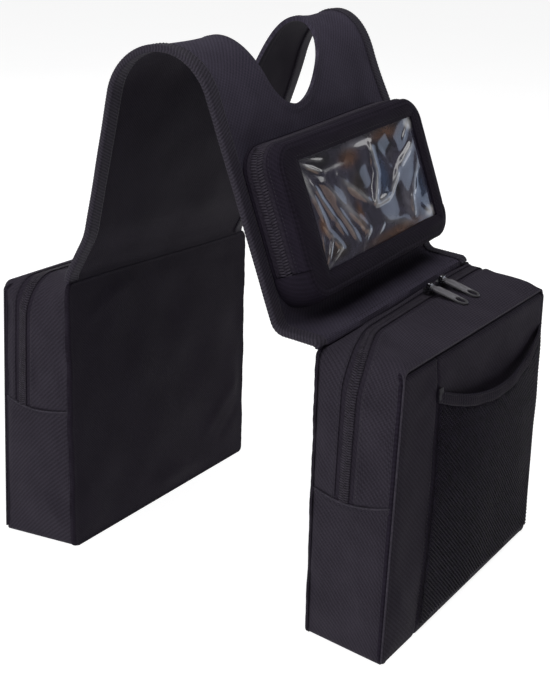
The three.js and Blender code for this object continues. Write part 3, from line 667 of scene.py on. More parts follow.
def edge_groove(depths, levels):
    """How far a gusset dips at the back panel's seam and turns down to the outer panel, less on its top."""
    on_top = ease(levels, POUCH_HEIGHT - 24, POUCH_HEIGHT - 2)
    from_outer = OUTER_SEAM - depths
    shoulder = SHOULDER * np.clip(1 - from_outer / SHOULDER_BAND, 0, 1) ** 2
    back = BACK_GROOVE * fade(depths - BACK_SEAM, 0.6, 2.8)
    outer = GROOVE * fade(from_outer, 0.2, 1.7) * (1 - on_top)
    return -back - outer - shoulder * (1 - 0.5 * on_top)


def seam_puckers(along, across):
    """Gathers along both panel seams of a gusset."""
    return puckers(along, across - BACK_SEAM) + puckers(along + 4.0, OUTER_SEAM - across)


def off_panels(across):
    """1 in the middle of a gusset and 0 at its panel seams."""
    return ease(across, 2.0, 9.0) * fade(across, 69.0, 76.0)


def strip_rise(name, runs, across, fold_at):
    """How far a strip of the zip gusset stands out, with its edge folded back along the zip."""
    along = runs[..., 3]
    away = np.abs(across - fold_at)
    from_end = from_ends(along)
    fold = FOLD_RISE * fade(away, FOLD_BAND, FOLD_BAND + 5.0) * ease(away, -0.1, 1.1)
    calm = ease(away, 1.0, 9.0) * off_panels(across) * ease(from_end, ZIP_TUCK, ZIP_TUCK + 14)
    soft = ripples(along, across, GUSSET_RIPPLES) + folds(along, across, GUSSET_FOLDS[name])
    rise = edge_groove(across, runs[..., 1]) + fold + soft * calm + seam_puckers(along, across)
    return rise - 1.5 * fade(from_end, ZIP_TUCK - 3, ZIP_TUCK + 4)


def gusset_sheet(pouch, name, node, runs, depths, rise, material=cloth, slot="cloth", thick=CLOTH):
    """A strip of a gusset, with its outer points and the vectors through it."""
    outer, inner = (gusset_points(pouch, runs, depths, level) for level in (rise, rise - thick))
    piece = grid_sheet(name, node, slot, outer, inner, runs[..., 3], depths[:, None], material)
    return piece, outer, outer - inner


def make_gusset(name, pouch):
    """The zip gusset: two strips of cloth, the tape and the coil. Returns the lines to sew."""
    zip_depth = pouch["zip"] * POUCH_DEPTH
    low, high = zip_depth - ZIP_TAPE / 2, zip_depth + ZIP_TAPE / 2
    inner_rows = steps(BACK_SEAM, FINE, BACK_SEAM + 6, COARSE, low - 5, FINE, low)
    outer_rows = steps(high, FINE, min(high + 5, OUTER_SEAM - 8), COARSE, OUTER_SEAM - 7, EDGE_STEP,
                       POUCH_DEPTH - RIM)
    sewn = []
    for part, depths, edge, hand in (("inner", inner_rows, low, -1), ("outer", outer_rows, high, 1)):
        runs = zip_runs(depths)
        rise = strip_rise(name, runs, depths[:, None], edge)
        names = f"{name}_zip_cloth_{part}", f"{name}_zip_strip_{part}"
        piece = gusset_sheet(pouch, *names, runs, depths, rise)[0]
        sewn.append(gusset_line(pouch, edge + hand * ZIP_SEW, FOLD_RISE + 0.1)[:2])
    tape_rows = steps(low - TAPE_HIDDEN, 2.0, high + TAPE_HIDDEN)
    gusset_sheet(pouch, f"{name}_zip_tape", f"{name}_zipper", zip_runs(tape_rows), tape_rows,
                 -TAPE_DROP - 0.2, zip_tape, "coil", TAPE_CLOTH)
    centre, _, across = gusset_line(pouch, zip_depth, -TAPE_DROP + 0.4)
    coil_teeth(f"{name}_zip_coil", centre, across * pouch["side"], *POUCH_COIL)
    return sewn


def make_lower_gusset(name, pouch):
    """The lower gusset. Returns the lines to sew and the cords along its top edges."""
    depths = steps(BACK_SEAM, FINE, BACK_SEAM + 6, COARSE, OUTER_SEAM - 11, EDGE_STEP, OUTER_SEAM)
    runs = lower_runs(depths)
    along, level, across = runs[..., 3], runs[..., 1], depths[:, None]
    from_seam = from_ends(along)
    soft = ripples(along, across, LOWER_RIPPLES) + folds(along, across, LOWER_FOLDS)
    rise = soft * off_panels(across) * ease(level, 3.0, 30.0) * ease(from_seam, 2, 14)
    rise = rise + (edge_groove(across, level) + seam_puckers(along, across)) * ease(level, 0.0, 12.0)
    rise = rise + SEAM_LIP * fade(from_seam, 1.4, FOLD_BAND + 3.0) * ease(from_seam, -0.4, 0.8)
    names = f"{name}_lower_cloth", f"{name}_lower_gusset"
    piece, outer, over = gusset_sheet(pouch, *names, runs, depths, rise)
    sewn = []
    cords = []
    for start, step in ((0, 1), (-1, -1)):
        reach = start + step * int(np.argmin(np.abs(from_seam[0][::step] - LOWER_SEW)))
        sewn.append((outer[4:-4, reach], over[4:-4, reach]))
        up = over[:, start] / CLOTH
        cords.append((outer[:, start] - 0.3 * up, up))
    return sewn, cords


PANEL_RIPPLES = [(120, 25, 0.3, 1.2), (77, 100, 1.4, 0.8), (46, 62, 2.5, 0.32), (58, -28, 0.8, 0.45)]
PANEL_FOLDS = [(70, 40, 128, 92, 9, 1.2), (92, 28, 132, 60, 7, -0.9), (-120, 210, -60, 236, 8, 0.8),
               (40, 244, 110, 226, 9, -0.9), (-128, 60, -90, 18, 8, 0.9), (-30, 20, 60, 14, 9, 0.7)]


def panel_edge(z, lip, top):
    corner = PANEL_TOP_RADIUS if lip > 0 else OUTER_CORNER
    return half_width(z, HALF_POUCH + lip, 0, top, PANEL_BOTTOM_RADIUS, corner)


def top_recess(from_top):
    """How far the outer face draws in under the rim of the pouch's top."""
    return 3.0 * np.clip(1 - from_top / 6.0, 0, 1) ** 2


def mouth_at(y):
    return MOUTH_LOW + MOUTH_BOW * (y - MOUTH_MIDDLE_Y) ** 2


def pocket_right(z):
    edge = half_width(z, HALF_POUCH, 0, POUCH_HEIGHT, PANEL_BOTTOM_RADIUS, PANEL_TOP_RADIUS)
    return edge - POCKET_MARGIN


def pocket_stand(y, z):
    """How far the pocket stands off the outer panel."""
    across = (y - POCKET_LEFT) / (pocket_right(z) - POCKET_LEFT)
    up = np.clip(z / mouth_at(y), 0, 1)
    return FIT + POCKET_STAND * np.sin(pi * np.clip(across, 0, 1)) ** 0.8 * up


def make_panel(name, pouch, part, material):
    """A face of a pouch: its back, against the tank, or one of the two pieces of its outer face."""
    back = part == "back_panel"
    lip, top = (BACK_LIP, POUCH_HEIGHT + BACK_LIP) if back else (OUTER_LIP, OUTER_TOP)
    z = steps(0, EDGE_STEP, 6, 3.0, top - 12, EDGE_STEP, top)
    edge = panel_edge(z, lip, top)
    left = np.full_like(z, OUTER_SEAM_Y + 0.1) if part == "outer_panel" else -edge
    right = np.full_like(z, OUTER_SEAM_Y - 0.1) if part == "outer_strip" else edge
    width = right - left
    shares = steps(0, 0.03, 1) if part == "outer_strip" else steps(0, 0.006, 0.06, 0.0125, 0.94, 0.006, 1)
    y = left[:, None] + width[:, None] * shares
    level = z[:, None]
    to_side = edge[:, None] - np.abs(y)
    inside = np.minimum(to_side, np.minimum(level + 1.0, top - level))
    soft = (ripples(y, level, PANEL_RIPPLES) + folds(y, level, PANEL_FOLDS)) * ease(inside, 3, 22)
    soft = soft + puckers(y + level, inside) * ease(level, 4, 16)
    if part == "outer_panel":
        behind_net = np.minimum(soft, pocket_stand(y, level) - 0.1)
        soft = np.where(level < mouth_at(y), behind_net, soft)
    shift = soft - quarter_round(1 - 2 * inside / LIP_THICK, LIP_THICK / 2)
    thick = CLOTH
    if back:
        band = fade(inside, LIP_BAND - 1.5, LIP_BAND)
        shift = shift + LIP_RISE * band
        thick = thick + (LIP_THICK - CLOTH - LIP_RISE) * band
        wave = 0.5 * np.sin(level / 15.0) + 0.4 * np.sin(level / 6.1 + 1.0)
        y = y + np.sign(y) * wave * fade(to_side, 0, 10) * ease(level, 6, 30)
    else:
        shift = shift - top_recess(top - level)
        shift = shift - 1.4 * np.clip(1 - np.minimum(to_side, level + 1.0) / SHOULDER_BAND, 0, 1) ** 2
        shift = shift + 0.6 * hump(to_side, 2.2, 1.5) * fade(level, top - 14, top - 6)
        shift = shift - 0.9 * hump(y, OUTER_SEAM_Y, 1.6)
    face, hand = (0.0, -1) if back else (POUCH_DEPTH, 1)
    outer = pouch_point(pouch, face + hand * shift, y, level)
    inner = pouch_point(pouch, face + hand * (np.minimum(shift, 0) - thick), y, level)
    piece = grid_sheet(f"{name}_{part}_cloth", f"{name}_{part}", "cloth", outer, inner, y, level, material)


NET_RIPPLES = [(90, 10, 0.5, 0.6), (55, 78, 1.9, 0.5), (130, 130, 0.2, 0.7)]
NET_TOP = MOUTH_LOW + 30


def net_point(pouch, y, z):
    soft = ripples(y, z, NET_RIPPLES) * ease(z, 8, 40) * ease(y, POCKET_LEFT, POCKET_LEFT + 25)
    return pouch_point(pouch, POUCH_DEPTH + pocket_stand(y, z) + 0.9 + np.clip(soft, -0.5, 2), y, z)


def make_net(name, pouch):
    """The pocket's net: two sets of slanting threads that cross."""
    reach = POCKET_RIGHT - POCKET_LEFT
    y = np.linspace(POCKET_LEFT, POCKET_RIGHT, 60)
    lines = []
    for hand, low, high in ((-1, POCKET_BOTTOM, NET_TOP + reach), (1, POCKET_BOTTOM - reach, NET_TOP)):
        for start in np.arange(low, high, NET_PITCH * sqrt(2)):
            z = start + hand * (y - POCKET_LEFT)
            keep = (z >= POCKET_BOTTOM - 1) & (z <= mouth_at(y) - MOUTH_BAND + 1.5)
            keep &= y <= pocket_right(np.clip(z, 1, 240))
            cuts = np.flatnonzero(np.diff(np.concatenate([[0], keep.astype(int), [0]])))
            for first, last in zip(cuts[::2], cuts[1::2]):
                if last - first > 1:
                    part = slice(first, last)
                    lines.append((net_point(pouch, y[part], z[part]), outward(pouch, last - first)))
    piece = strands(f"{name}_pocket_net", lines, NET_RADIUS, net_thread, f"{name}_mesh_pocket")


def make_pocket_binding(name, pouch):
    """The elastic band along the pocket's mouth, a little gathered. Returns the lines to sew."""
    y = steps(POCKET_LEFT - 1.5, 1.1, POCKET_RIGHT + 1.0)
    # Rows down the band: distance from its top edge and thickness
    profile = np.array([(0.0, 0.0), (0.5, 1.0), (1.6, 1.7), (4.0, 2.0), (7.5, 1.95), (9.6, 1.6), (10.7, 0.9),
                        (MOUTH_BAND, 0.0)])
    down, thick = profile[:, :1], profile[:, 1:]
    gather = 0.16 * np.sin(2 * pi * y / 3.3) + 0.3 * np.sin(2 * pi * y / 41)
    tucked = ease(y, y[-1] - 18, y[-1])
    z = mouth_at(y) - down
    stand = POUCH_DEPTH + pocket_stand(y, z) - 1.3 * tucked
    height = thick * (1 + gather * (thick > 0.5)) * (1 - 0.5 * tucked)
    outer = pouch_point(pouch, stand + 0.2 + height, y, z)
    inner = pouch_point(pouch, stand - 0.1, y, z)
    grid_sheet(f"{name}_pocket_band", f"{name}_pocket_binding", "tape", outer, inner, y, down, tape)
    up = outward(pouch, len(y))
    return [(outer[row] + up * 0.2, up) for row in (2, 5)]


def make_tack(name, pouch):
    """The bar tack that holds the pocket's mouth at the panel seam."""
    y = np.linspace(POCKET_LEFT - 3.2, POCKET_LEFT + 3.0, 4)
    levels = mouth_at(POCKET_LEFT) + 1.5 - TACK_PITCH * np.arange(TACK_ROWS)
    up = outward(pouch, len(y))
    lines = [(pouch_point(pouch, POUCH_DEPTH + TACK_STAND, y, z), up) for z in levels]
    strands(f"{name}_pocket_tack", lines, TACK_RADIUS, thread)


def edge_cords(pouch):
    """The folded edges of the outer face along its front and rear seams."""
    z = steps(4, 3, OUTER_TOP - 10, 0.7, OUTER_TOP - 0.5)
    edge = panel_edge(z, OUTER_LIP, OUTER_TOP) - 0.5
    depth = POUCH_DEPTH - 0.6 - top_recess(OUTER_TOP - z)
    return [(pouch_point(pouch, depth, end * edge, z), outward(pouch, len(z))) for end in (-1, 1)]


def make_pouch(name, pouch):
    sewn = make_gusset(name, pouch)
    lower_sewn, cords = make_lower_gusset(name, pouch)
    # The folded edges are lighter than the cloth: painted light
    strands(f"{name}_seam_cords", cords + edge_cords(pouch), SEAM_CORD, cloth_edge_painted_light, sides=6)
    # The back panel gets the darker smooth cloth: painted shade
    make_panel(name, pouch, "back_panel", lining_painted_shade)
    # The outer face gets the darker copy of the cloth: painted shade
    make_panel(name, pouch, "outer_strip", panel_cloth_painted_shade)
    make_panel(name, pouch, "outer_panel", panel_cloth_painted_shade)
    make_net(name, pouch)
    sewn += lower_sewn + make_pocket_binding(name, pouch)
    make_tack(name, pouch)
    z = steps(6, 3, 244)
    beside = OUTER_SEAM_Y - PANEL_SEW
    sewn.append((pouch_point(pouch, POUCH_DEPTH + 0.45, beside, z), outward(pouch, len(z))))
    stitch_rows(f"{name}_stitches", sewn)


for pouch_name, pouch_row in POUCHES.items():
    make_pouch(pouch_name, pouch_row)

# Yoke

yoke_run, yoke_turns = rounded_run(YOKE_CORNERS, (4, 14, 90, 110, 14, 3), 40)
crease_distance = yoke_run[yoke_turns[CREASE_TURN], 3]
yoke_length = yoke_run[-1, 3]
crown_distance = yoke_run[np.argmax(yoke_run[:, 1]), 3]
hole_distance = crown_distance - HOLE_TO_FAR


def yoke_rise(distance, y):
    lifts = POUCHES["far"]["lift"], CROWN_LIFT, POUCHES["near"]["lift"]
    far, crown, near = (along_y(ends, y) for ends in lifts)
    up = far + (crown - far) * ease(distance, 0, crown_distance)
    down = crown + (near - crown) * ease(distance, crown_distance, yoke_length)
    return np.where(distance < crown_distance, up, down)


def yoke_point(distance, y, offset):
    """A place on the yoke, from its distance along the sheet, or off it by some millimetres."""
    distance, y, offset = np.broadcast_arrays(distance, y, offset)
    a, b, heading = (np.interp(distance, yoke_run[:, 3], yoke_run[:, k]) for k in range(3))
    low = np.where(distance < crown_distance, PINCH_FAR_LOW, PINCH_NEAR_LOW)
    pinch = PINCH_SHARE * (y / POUCH_WIDTH + 0.5) * ease(b, low, PINCH_TOP)
    x = a * (1 - pinch) - np.sin(heading) * offset
    z = b + np.cos(heading) * offset + yoke_rise(distance, y)
    return np.stack([x, y, z], -1)


def hole_place(angle, outside=0.0):
    """Places on the hole's edge, or outside it by some millimetres, as distance and y."""
    long = (HOLE_HALF_LENGTH + outside) * np.cos(angle)
    wide = (HOLE_HALF_WIDTH + outside) * np.sin(angle)
    distance, y = turned(long, wide, HOLE_TURN)
    return hole_distance + distance, HOLE_MIDDLE_Y + y


def hole_axes(distance, y):
    """A place along the hole's two axes, from its middle."""
    return turned(distance - hole_distance, y - HOLE_MIDDLE_Y, -HOLE_TURN)


def hole_outside(distance, y):
    """About how far a place is outside the hole's edge, in millimetres."""
    long, wide = hole_axes(distance, y)
    share = np.hypot(long / HOLE_HALF_LENGTH, wide / HOLE_HALF_WIDTH)
    return (share - 1) * np.hypot(long, wide) / np.maximum(share, 1e-6)


YOKE_RIPPLES = [(150, 15, 0.4, 1.0), (88, 80, 1.2, 0.6), (63, -40, 2.4, 0.35)]
YOKE_FOLDS = [(470, -90, 505, 40, 8, -1.2), (505, -120, 520, 100, 7, 0.8), (30, -110, 16, 100, 8, 0.8),
              (365, -125, 330, -70, 9, 0.9), (160, 120, 205, 75, 8, 0.8)]
HOLE_ROWS = 12
HOLE_ROOM = 10
YOKE_CELL = 3.6


def yoke_offset(distance, y):
    """How far the yoke's folds lift it, with none at its edges, round the hole and under the phone pouch."""
    inside = YOKE_HALF_WIDTH - np.abs(y - YOKE_MIDDLE_Y)
    calm = ease(inside, 8, 35) * ease(hole_outside(distance, y), 3, 25)
    calm = calm * ease(distance, 2, 22) * fade(distance, yoke_length - 18, yoke_length - 4)
    under_phone = ease(distance, crease_distance - 150, crease_distance - 140)
    under_phone = under_phone * fade(distance, crease_distance - 6, crease_distance + 3)
    soft = ripples(distance, y, YOKE_RIPPLES) + folds(distance, y, YOKE_FOLDS)
    return soft * calm * (1 - under_phone)


def make_yoke():
    """The sheet over the tank: an even grid with a round of cells fitted to the hole."""
    columns = steps(0, YOKE_CELL, yoke_length)
    rows = steps(YOKE_MIDDLE_Y - YOKE_HALF_WIDTH, YOKE_CELL, YOKE_MIDDLE_Y + YOKE_HALF_WIDTH)
    hole_s, hole_y = hole_place(np.linspace(0, 2 * pi, 400))
    s0, s1 = np.searchsorted(columns, (hole_s.min() - HOLE_ROOM, hole_s.max() + HOLE_ROOM))
    y0, y1 = np.searchsorted(rows, (hole_y.min() - HOLE_ROOM, hole_y.max() + HOLE_ROOM))
    grid = np.stack(np.meshgrid(columns, rows, indexing="ij"), -1)
    index = np.arange(grid[..., 0].size).reshape(grid.shape[:2])
    quads = np.stack([index[:-1, :-1], index[1:, :-1], index[1:, 1:], index[:-1, 1:]], -1)
    keep = np.ones(quads.shape[:2], bool)
    keep[s0:s1, y0:y1] = False
    before = np.concatenate([index[s0:s1, y0], index[s1, y0:y1], index[s1:s0:-1, y1], index[s0, y1:y0:-1]])
    places = [grid.reshape(-1, 2)]
    faces = [quads[keep]]
    ring = places[0][before]
    long, wide = hole_axes(*ring.T)
    edge = np.stack(hole_place(np.arctan2(wide / HOLE_HALF_WIDTH, long / HOLE_HALF_LENGTH)), -1)
    for k in range(1, HOLE_ROWS + 1):
        places.append(ring + (edge - ring) * (1 - (1 - k / HOLE_ROWS) ** 1.6))
        after = index.size + (k - 1) * len(ring) + np.arange(len(ring))
        faces.append(np.stack([before, np.roll(before, -1), np.roll(after, -1), after], -1))
        before = after
    used, renamed = np.unique(np.concatenate(faces), return_inverse=True)
    flat = np.concatenate(places)[used]
    quads = renamed.reshape(-1, 4)
    distance, y = flat.T
    hem = HEM_RISE * fade(hole_outside(distance, y), 6.0, 8.5)
    soft = yoke_offset(distance, y)
    outer = yoke_point(distance, y, YOKE_SHEET / 2 + hem + soft)
    inner = yoke_point(distance, y, -YOKE_SHEET / 2 - hem + soft)
    piece = closed_sheet("yoke_cloth", "yoke", quads, outer, inner, flat, yoke_cloth)
    # The yoke's underside gets the darker smooth cloth: painted shade
    second_material(piece, lining_painted_shade, slice(len(quads), 2 * len(quads)))


def make_binding(part, end):
    """The ribbed tape folded over a long edge of the yoke. Returns the lines to sew."""
    distance = steps(EDGE_TAPE_END, 0.6, yoke_length - EDGE_TAPE_END)
    half = YOKE_SHEET / 2 + FIT
    top = half + EDGE_TAPE_CLOTH
    edge = YOKE_HALF_WIDTH + FIT
    start = YOKE_HALF_WIDTH - EDGE_TAPE_WIDTH
    # The tape's section, from its upper edge round to its lower one: place across the yoke and height
    upper = [(start, half + 0.1), (start + 0.3, top * 0.9), (start + 1.2, top)]
    upper += [(start + share * (edge - start - 1.0), top) for share in (0.25, 0.4, 0.55, 0.7, 0.85, 1.0)]
    turns = [radians(angle) for angle in (70, 45, 15, -15, -45, -70)]
    profile = np.array([*upper, *((edge - 1.0 + 2.2 * cos(turn), top * sin(turn)) for turn in turns),
                        *((place, -height) for place, height in upper[::-1])])
    place, height = profile[:, :1], profile[:, 1:]
    reach = np.concatenate([[0], np.cumsum(np.hypot(*np.diff(profile, axis=0).T))])[:, None]
    from_middle = reach - reach[-1] / 2
    ribs = RIB_RISE * np.sin(2 * pi * (distance / RIB_PITCH + np.abs(from_middle) / RIB_SLANT))
    wave = 0.4 * np.sin(distance / 23.0) + 0.25 * np.sin(distance / 9.7 + 1.0)
    y = YOKE_MIDDLE_Y + end * (place + wave * (place > edge - 1.5) * 0.6)
    sign = np.sign(height)
    base = yoke_offset(distance, y)
    outer = yoke_point(distance, y + end * ribs * (place > edge - 1.2), height + ribs * sign + base)
    inside = np.where(np.abs(height) > half, sign * half, height * 0.72)
    inner_y = np.minimum(end * (y - YOKE_MIDDLE_Y), edge) * end + YOKE_MIDDLE_Y
    inner = yoke_point(distance, inner_y, inside + base)
    names = f"yoke_{part}_tape", f"yoke_binding_{part}"
    grid_sheet(*names, "tape", outer, inner, distance, from_middle, ribbed)
    sewn_y = YOKE_MIDDLE_Y + end * (start + BINDING_SEW)
    return [sewing_line(yoke_point, distance, sewn_y, side * (top + STITCH_RISE), side) for side in (1, -1)]


make_yoke()
yoke_sewn = make_binding("front", -1) + make_binding("rear", 1)
hem_places = hole_place(np.linspace(0, 2 * pi, 361), HEM_SEW)
for hem_side in (1, -1):
    yoke_sewn.append(sewing_line(yoke_point, *hem_places, hem_side * (YOKE_SHEET / 2 + 0.6), hem_side))
seam_y = np.linspace(YOKE_MIDDLE_Y - YOKE_SEAM_HALF, YOKE_MIDDLE_Y + YOKE_SEAM_HALF, 80)
for seam_distance in (YOKE_FAR_SEW, yoke_length - YOKE_NEAR_SEW):
    yoke_sewn.append(sewing_line(yoke_point, seam_distance, seam_y, YOKE_SHEET / 2 + STITCH_RISE))
stitch_rows("yoke_stitches", yoke_sewn)

# Phone pouch

phone_bottom = crease_distance - PHONE_ABOVE_CREASE
PHONE_RIPPLES = [(70, 20, 0.3, 0.35), (38, 75, 1.5, 0.22)]
PHONE_LIP = PHONE_DEPTH + 1.6


def phone_point(y, b, c):
    lean = PHONE_LEAN * ease(c, 0, PHONE_DEPTH) * np.clip(2 * y / PHONE_WIDTH, 0, 1)
    return yoke_point(phone_bottom - b, YOKE_MIDDLE_Y + y + lean, YOKE_SHEET / 2 + FIT + c)


def phone_runs(depths, top):
    """The lines round the pouch's top and sides, or under its bottom, at each depth."""
    rows = []
    for inset in PHONE_ROLL * (depths / PHONE_DEPTH) ** 2:
        half, radius = PHONE_WIDTH / 2 - inset, PHONE_CORNER - inset
        side, seam, level = half, PHONE_SEAM - FIT, inset
        if top:
            side, seam, level = -half, PHONE_SEAM, PHONE_HEIGHT - inset
        rows.append([(side, seam), (side, level, radius), (-side, level, radius), (-side, seam)])
    return stack_runs(rows, (24, 50, 24), 14) if top else stack_runs(rows, (4, 50, 4), 16)


def phone_wall(runs, depths, rise):
    return phone_point(*set_out(runs, rise), depths[:, None])


def make_phone_wall(name, node, depths, shape, top=True, taped=False):
    """A strip of the pouch's wall. shape gives how far each row stands out."""
    runs = phone_runs(depths, top)
    along, across = runs[..., 3], depths[:, None]
    ends = ease(from_ends(along), 0, 5.0)
    # Cloth walls get the darker copy of the cloth: painted shade
    material, slot, thick = (zip_tape, "coil", TAPE_CLOTH) if taped else (panel_cloth_painted_shade, "cloth", PHONE_CLOTH)
    soft = 0.0 if taped else ripples(along, across, PHONE_RIPPLES) * ends
    rise = np.reshape(shape, (-1, 1)) + soft - 0.8 * (1 - ends) * top
    outer, inner = (phone_wall(runs, depths, level) for level in (rise, rise - thick))
    piece = grid_sheet(name, node, slot, outer, inner, along, across, material)
    return outer, outer - inner


def lip_welt(depths):
    """The welt along the face's seam and the rounded shoulder where a wall meets the face."""
    radius = 2.6
    shoulder = quarter_round((depths - PHONE_LIP + radius) / radius, radius)
    return 0.8 * hump(depths, PHONE_LIP - 2.2, 2.4) - shoulder


def make_phone_pouch():
    """The pouch's walls and its zip. Returns the line to sew."""
    low, high = PHONE_ZIP_DEPTH - ZIP_TAPE / 2, PHONE_ZIP_DEPTH + ZIP_TAPE / 2
    make_phone_wall("phone_base_cloth", "phone_base_strip", steps(0, 0.6, low), 0.5)
    make_phone_wall("phone_zip_tape", "phone_zipper", steps(low - 0.4, 1.5, high + 0.4), -TAPE_DROP + 0.1,
                    taped=True)
    strip = steps(high - 0.5, 0.6, PHONE_LIP)
    welt = FOLD_RISE * fade(strip - high, FOLD_BAND, FOLD_BAND + 3) * ease(strip - high, -0.6, 0.6)
    outer, up = make_phone_wall("phone_strip_cloth", "phone_face_strip", strip, welt + lip_welt(strip))
    bottom = steps(0, FINE, 4, 2.5, PHONE_DEPTH - 4, 0.6, PHONE_LIP)
    bulge = 1.2 * np.sin(pi * np.clip(bottom / PHONE_DEPTH, 0, 1))
    make_phone_wall("phone_bottom_cloth", "phone_bottom_wall", bottom, bulge + lip_welt(bottom), top=False)
    rows = PHONE_ZIP_DEPTH + np.array([-0.5, 0.0, 0.5])
    centre = phone_wall(phone_runs(rows, True), rows, -TAPE_DROP + 0.5)
    coil_teeth("phone_zip_coil", centre[1], centre[0] - centre[2], *PHONE_COIL)
    row = int(np.argmin(np.abs(strip - high - PHONE_ZIP_SEW)))
    return [(outer[row] + 0.1 * up[row] / PHONE_CLOTH, up[row])]


def phone_face_point(y, b, rise):
    crown = PHONE_CROWN * (1 - (2 * y / PHONE_WIDTH) ** 2) * (1 - (2 * b / PHONE_HEIGHT - 1) ** 2)
    return phone_point(y, b, PHONE_DEPTH + crown + rise)


FACE_RIPPLES = [(60, 30, 0.6, 0.3), (33, 100, 1.8, 0.2)]
FACE_FOLDS = [(-112, 90, -90, 30, 5, 0.8), (-100, 20, -60, 10, 5, 0.6), (60, 12, 108, 20, 5, 0.6)]


def in_window(y, b):
    """How far a place is inside the window's edge, in millimetres."""
    across = np.minimum(y - WINDOW_LEFT, WINDOW_RIGHT - y)
    return np.minimum(across, np.minimum(b - WINDOW_BOTTOM, WINDOW_TOP - b))


def make_phone_face():
    """The pouch's face, a frame round the window. Returns the lines to sew."""
    bottom, top = PHONE_ROLL, PHONE_HEIGHT - PHONE_ROLL
    half, radius = PHONE_WIDTH / 2 - PHONE_ROLL, PHONE_CORNER - PHONE_ROLL
    rows = steps(bottom, EDGE_STEP, bottom + 5, 2.2, WINDOW_BOTTOM - 2, 0.7, WINDOW_BOTTOM, 4.0, WINDOW_TOP,
                 0.7, WINDOW_TOP + 2, 2.0, top - 5, EDGE_STEP, top)
    edge = half_width(rows, half, bottom, top, radius, radius)[:, None]
    left = np.maximum(WINDOW_LEFT, -edge + 3)
    right = np.minimum(WINDOW_RIGHT, edge - 3)
    border = steps(0, 0.05, 0.25, 0.1, 0.9, 0.05, 1)
    middle = steps(0, 0.025, 1)[1:-1]
    y = np.concatenate([-edge + (left + edge) * border, left + (right - left) * middle,
                        right + (edge - right) * border], 1)
    b = np.broadcast_to(rows[:, None], y.shape)
    inside = np.minimum(np.minimum(edge - np.abs(y), b - bottom), top - b)
    to_window = -in_window(y, b)
    calm = ease(inside, 2, 9) * ease(to_window, 1, 6)
    soft = (ripples(y, b, FACE_RIPPLES) + folds(y, b, FACE_FOLDS)) * calm
    puff = 1.5 * ease(inside, 0.5, 7) * ease(to_window, 0.0, 7.0)
    rise = puff - 2.6 * fade(inside, 0.3, 4.0) + soft
    outer = phone_face_point(y, b, rise).reshape(-1, 3)
    inner = phone_face_point(y, b, 0.4 * rise - PHONE_CLOTH).reshape(-1, 3)
    faces = grid_faces(*y.shape)
    framed = in_window(y.ravel()[faces].mean(1), b.ravel()[faces].mean(1)) <= 0
    used, renamed = np.unique(faces[framed], return_inverse=True)
    flat = flat_map(y, b).reshape(-1, 2)[used]
    # The face gets the darkest copy of the cloth: painted shade
    piece = closed_sheet("phone_face_cloth", "phone_face", renamed.reshape(-1, 4), outer[used],
                         inner[used], flat, face_cloth_painted_shade)
    y0, y1 = WINDOW_LEFT - WINDOW_SEW, WINDOW_RIGHT + WINDOW_SEW
    b0, b1 = WINDOW_BOTTOM - WINDOW_SEW, WINDOW_TOP + WINDOW_SEW
    loop = np.array([(y0, b0), (y1, b0), (y1, b1), (y0, b1)])
    shares = np.linspace(0, 1, 60)[:, None]
    sewn = []
    for start, stop in zip(loop, np.roll(loop, -1, axis=0)):
        sewn.append(sewing_line(phone_face_point, *(start + (stop - start) * shares).T, 0.75))
    return sewn


FILM_RIDGES = [
    (24, 108, 24, 78, 3.4, 1.0), (24, 80, 7, 56, 3.4, 1.0), (7, 56, -36, 91, 4.4, 0.9),
    (7, 56, 35, 58, 3.6, 0.9), (35, 58, 57, 77, 3.6, 1.0), (57, 77, 98, 94, 4.0, 1.0),
    (98, 79, 69, 48, 3.8, 0.9), (69, 50, 65, 30, 3.6, 0.8),
    (-84, 110, -70, 58, 3.0, 0.8), (-59, 92, -9, 36, 5.0, 0.8), (-84, 105, -30, 110, 4.6, 0.3),
    (-30, 110, 30, 106, 4.4, 0.5), (-76, 60, -52, 30, 4.0, 0.7), (-78, 100, -46, 42, 2.8, 0.7),
    (-50, 70, -28, 30, 3.6, 0.7), (10, 44, 60, 26, 6, 0.7), (-87, 115, -56, 99, 1.8, 0.7),
    (-87, 117, -48, 108, 1.6, 0.6), (-86, 112, -79, 80, 1.6, 0.6), (-86, 22, -56, 36, 1.8, 0.7),
    (-86, 22, -66, 47, 1.8, 0.6), (-85, 26, -78, 54, 1.6, 0.6), (101, 116, 78, 98, 2.0, 0.6),
    (101, 23, 82, 38, 2.0, 0.6), (-30, 22, -8, 40, 2.2, 0.6), (-14, 23, 14, 38, 2.0, 0.5),
]
FILM_HOLLOWS = [
    (-70, 96, -32, 34, 3.4, -0.5), (-40, 60, -20, 84, 12, -0.9), (42, 92, 60, 104, 11, -0.9),
    (40, 68, 48, 40, 10, -0.8), (86, 70, 90, 44, 11, -0.9), (-66, 84, -58, 56, 9, -0.7),
    (-30, 40, 4, 30, 9, -0.7), (12, 92, 16, 70, 9, -0.8), (-92, 108, 2, 109, 9, -0.7),
]
FILM_RIPPLES = [(75, 25, 0.7, 0.45), (52, 110, 1.9, 0.25), (100, -30, 2.2, 0.5)]
FILM_THICK = 0.5
FILM_DEPTH = PHONE_CLOTH + FIT + 0.2
FILM_GREY = (0.037, 0.034, 0.053)
# The painted highlight added on the crests of the film's ridges
FILM_CREST_HIGHLIGHT = 0.20
# Colours of the painted reflections; the pale ones are painted highlights
FILM_REFLECTION_COLOURS = {"dark": (0.012, 0.011, 0.015), "brown": (0.088, 0.045, 0.031), "slate": (0.036, 0.051, 0.095),
                "umber": (0.028, 0.021, 0.021), "pale": (0.46, 0.46, 0.47), "lilac": (0.100, 0.096, 0.120)}
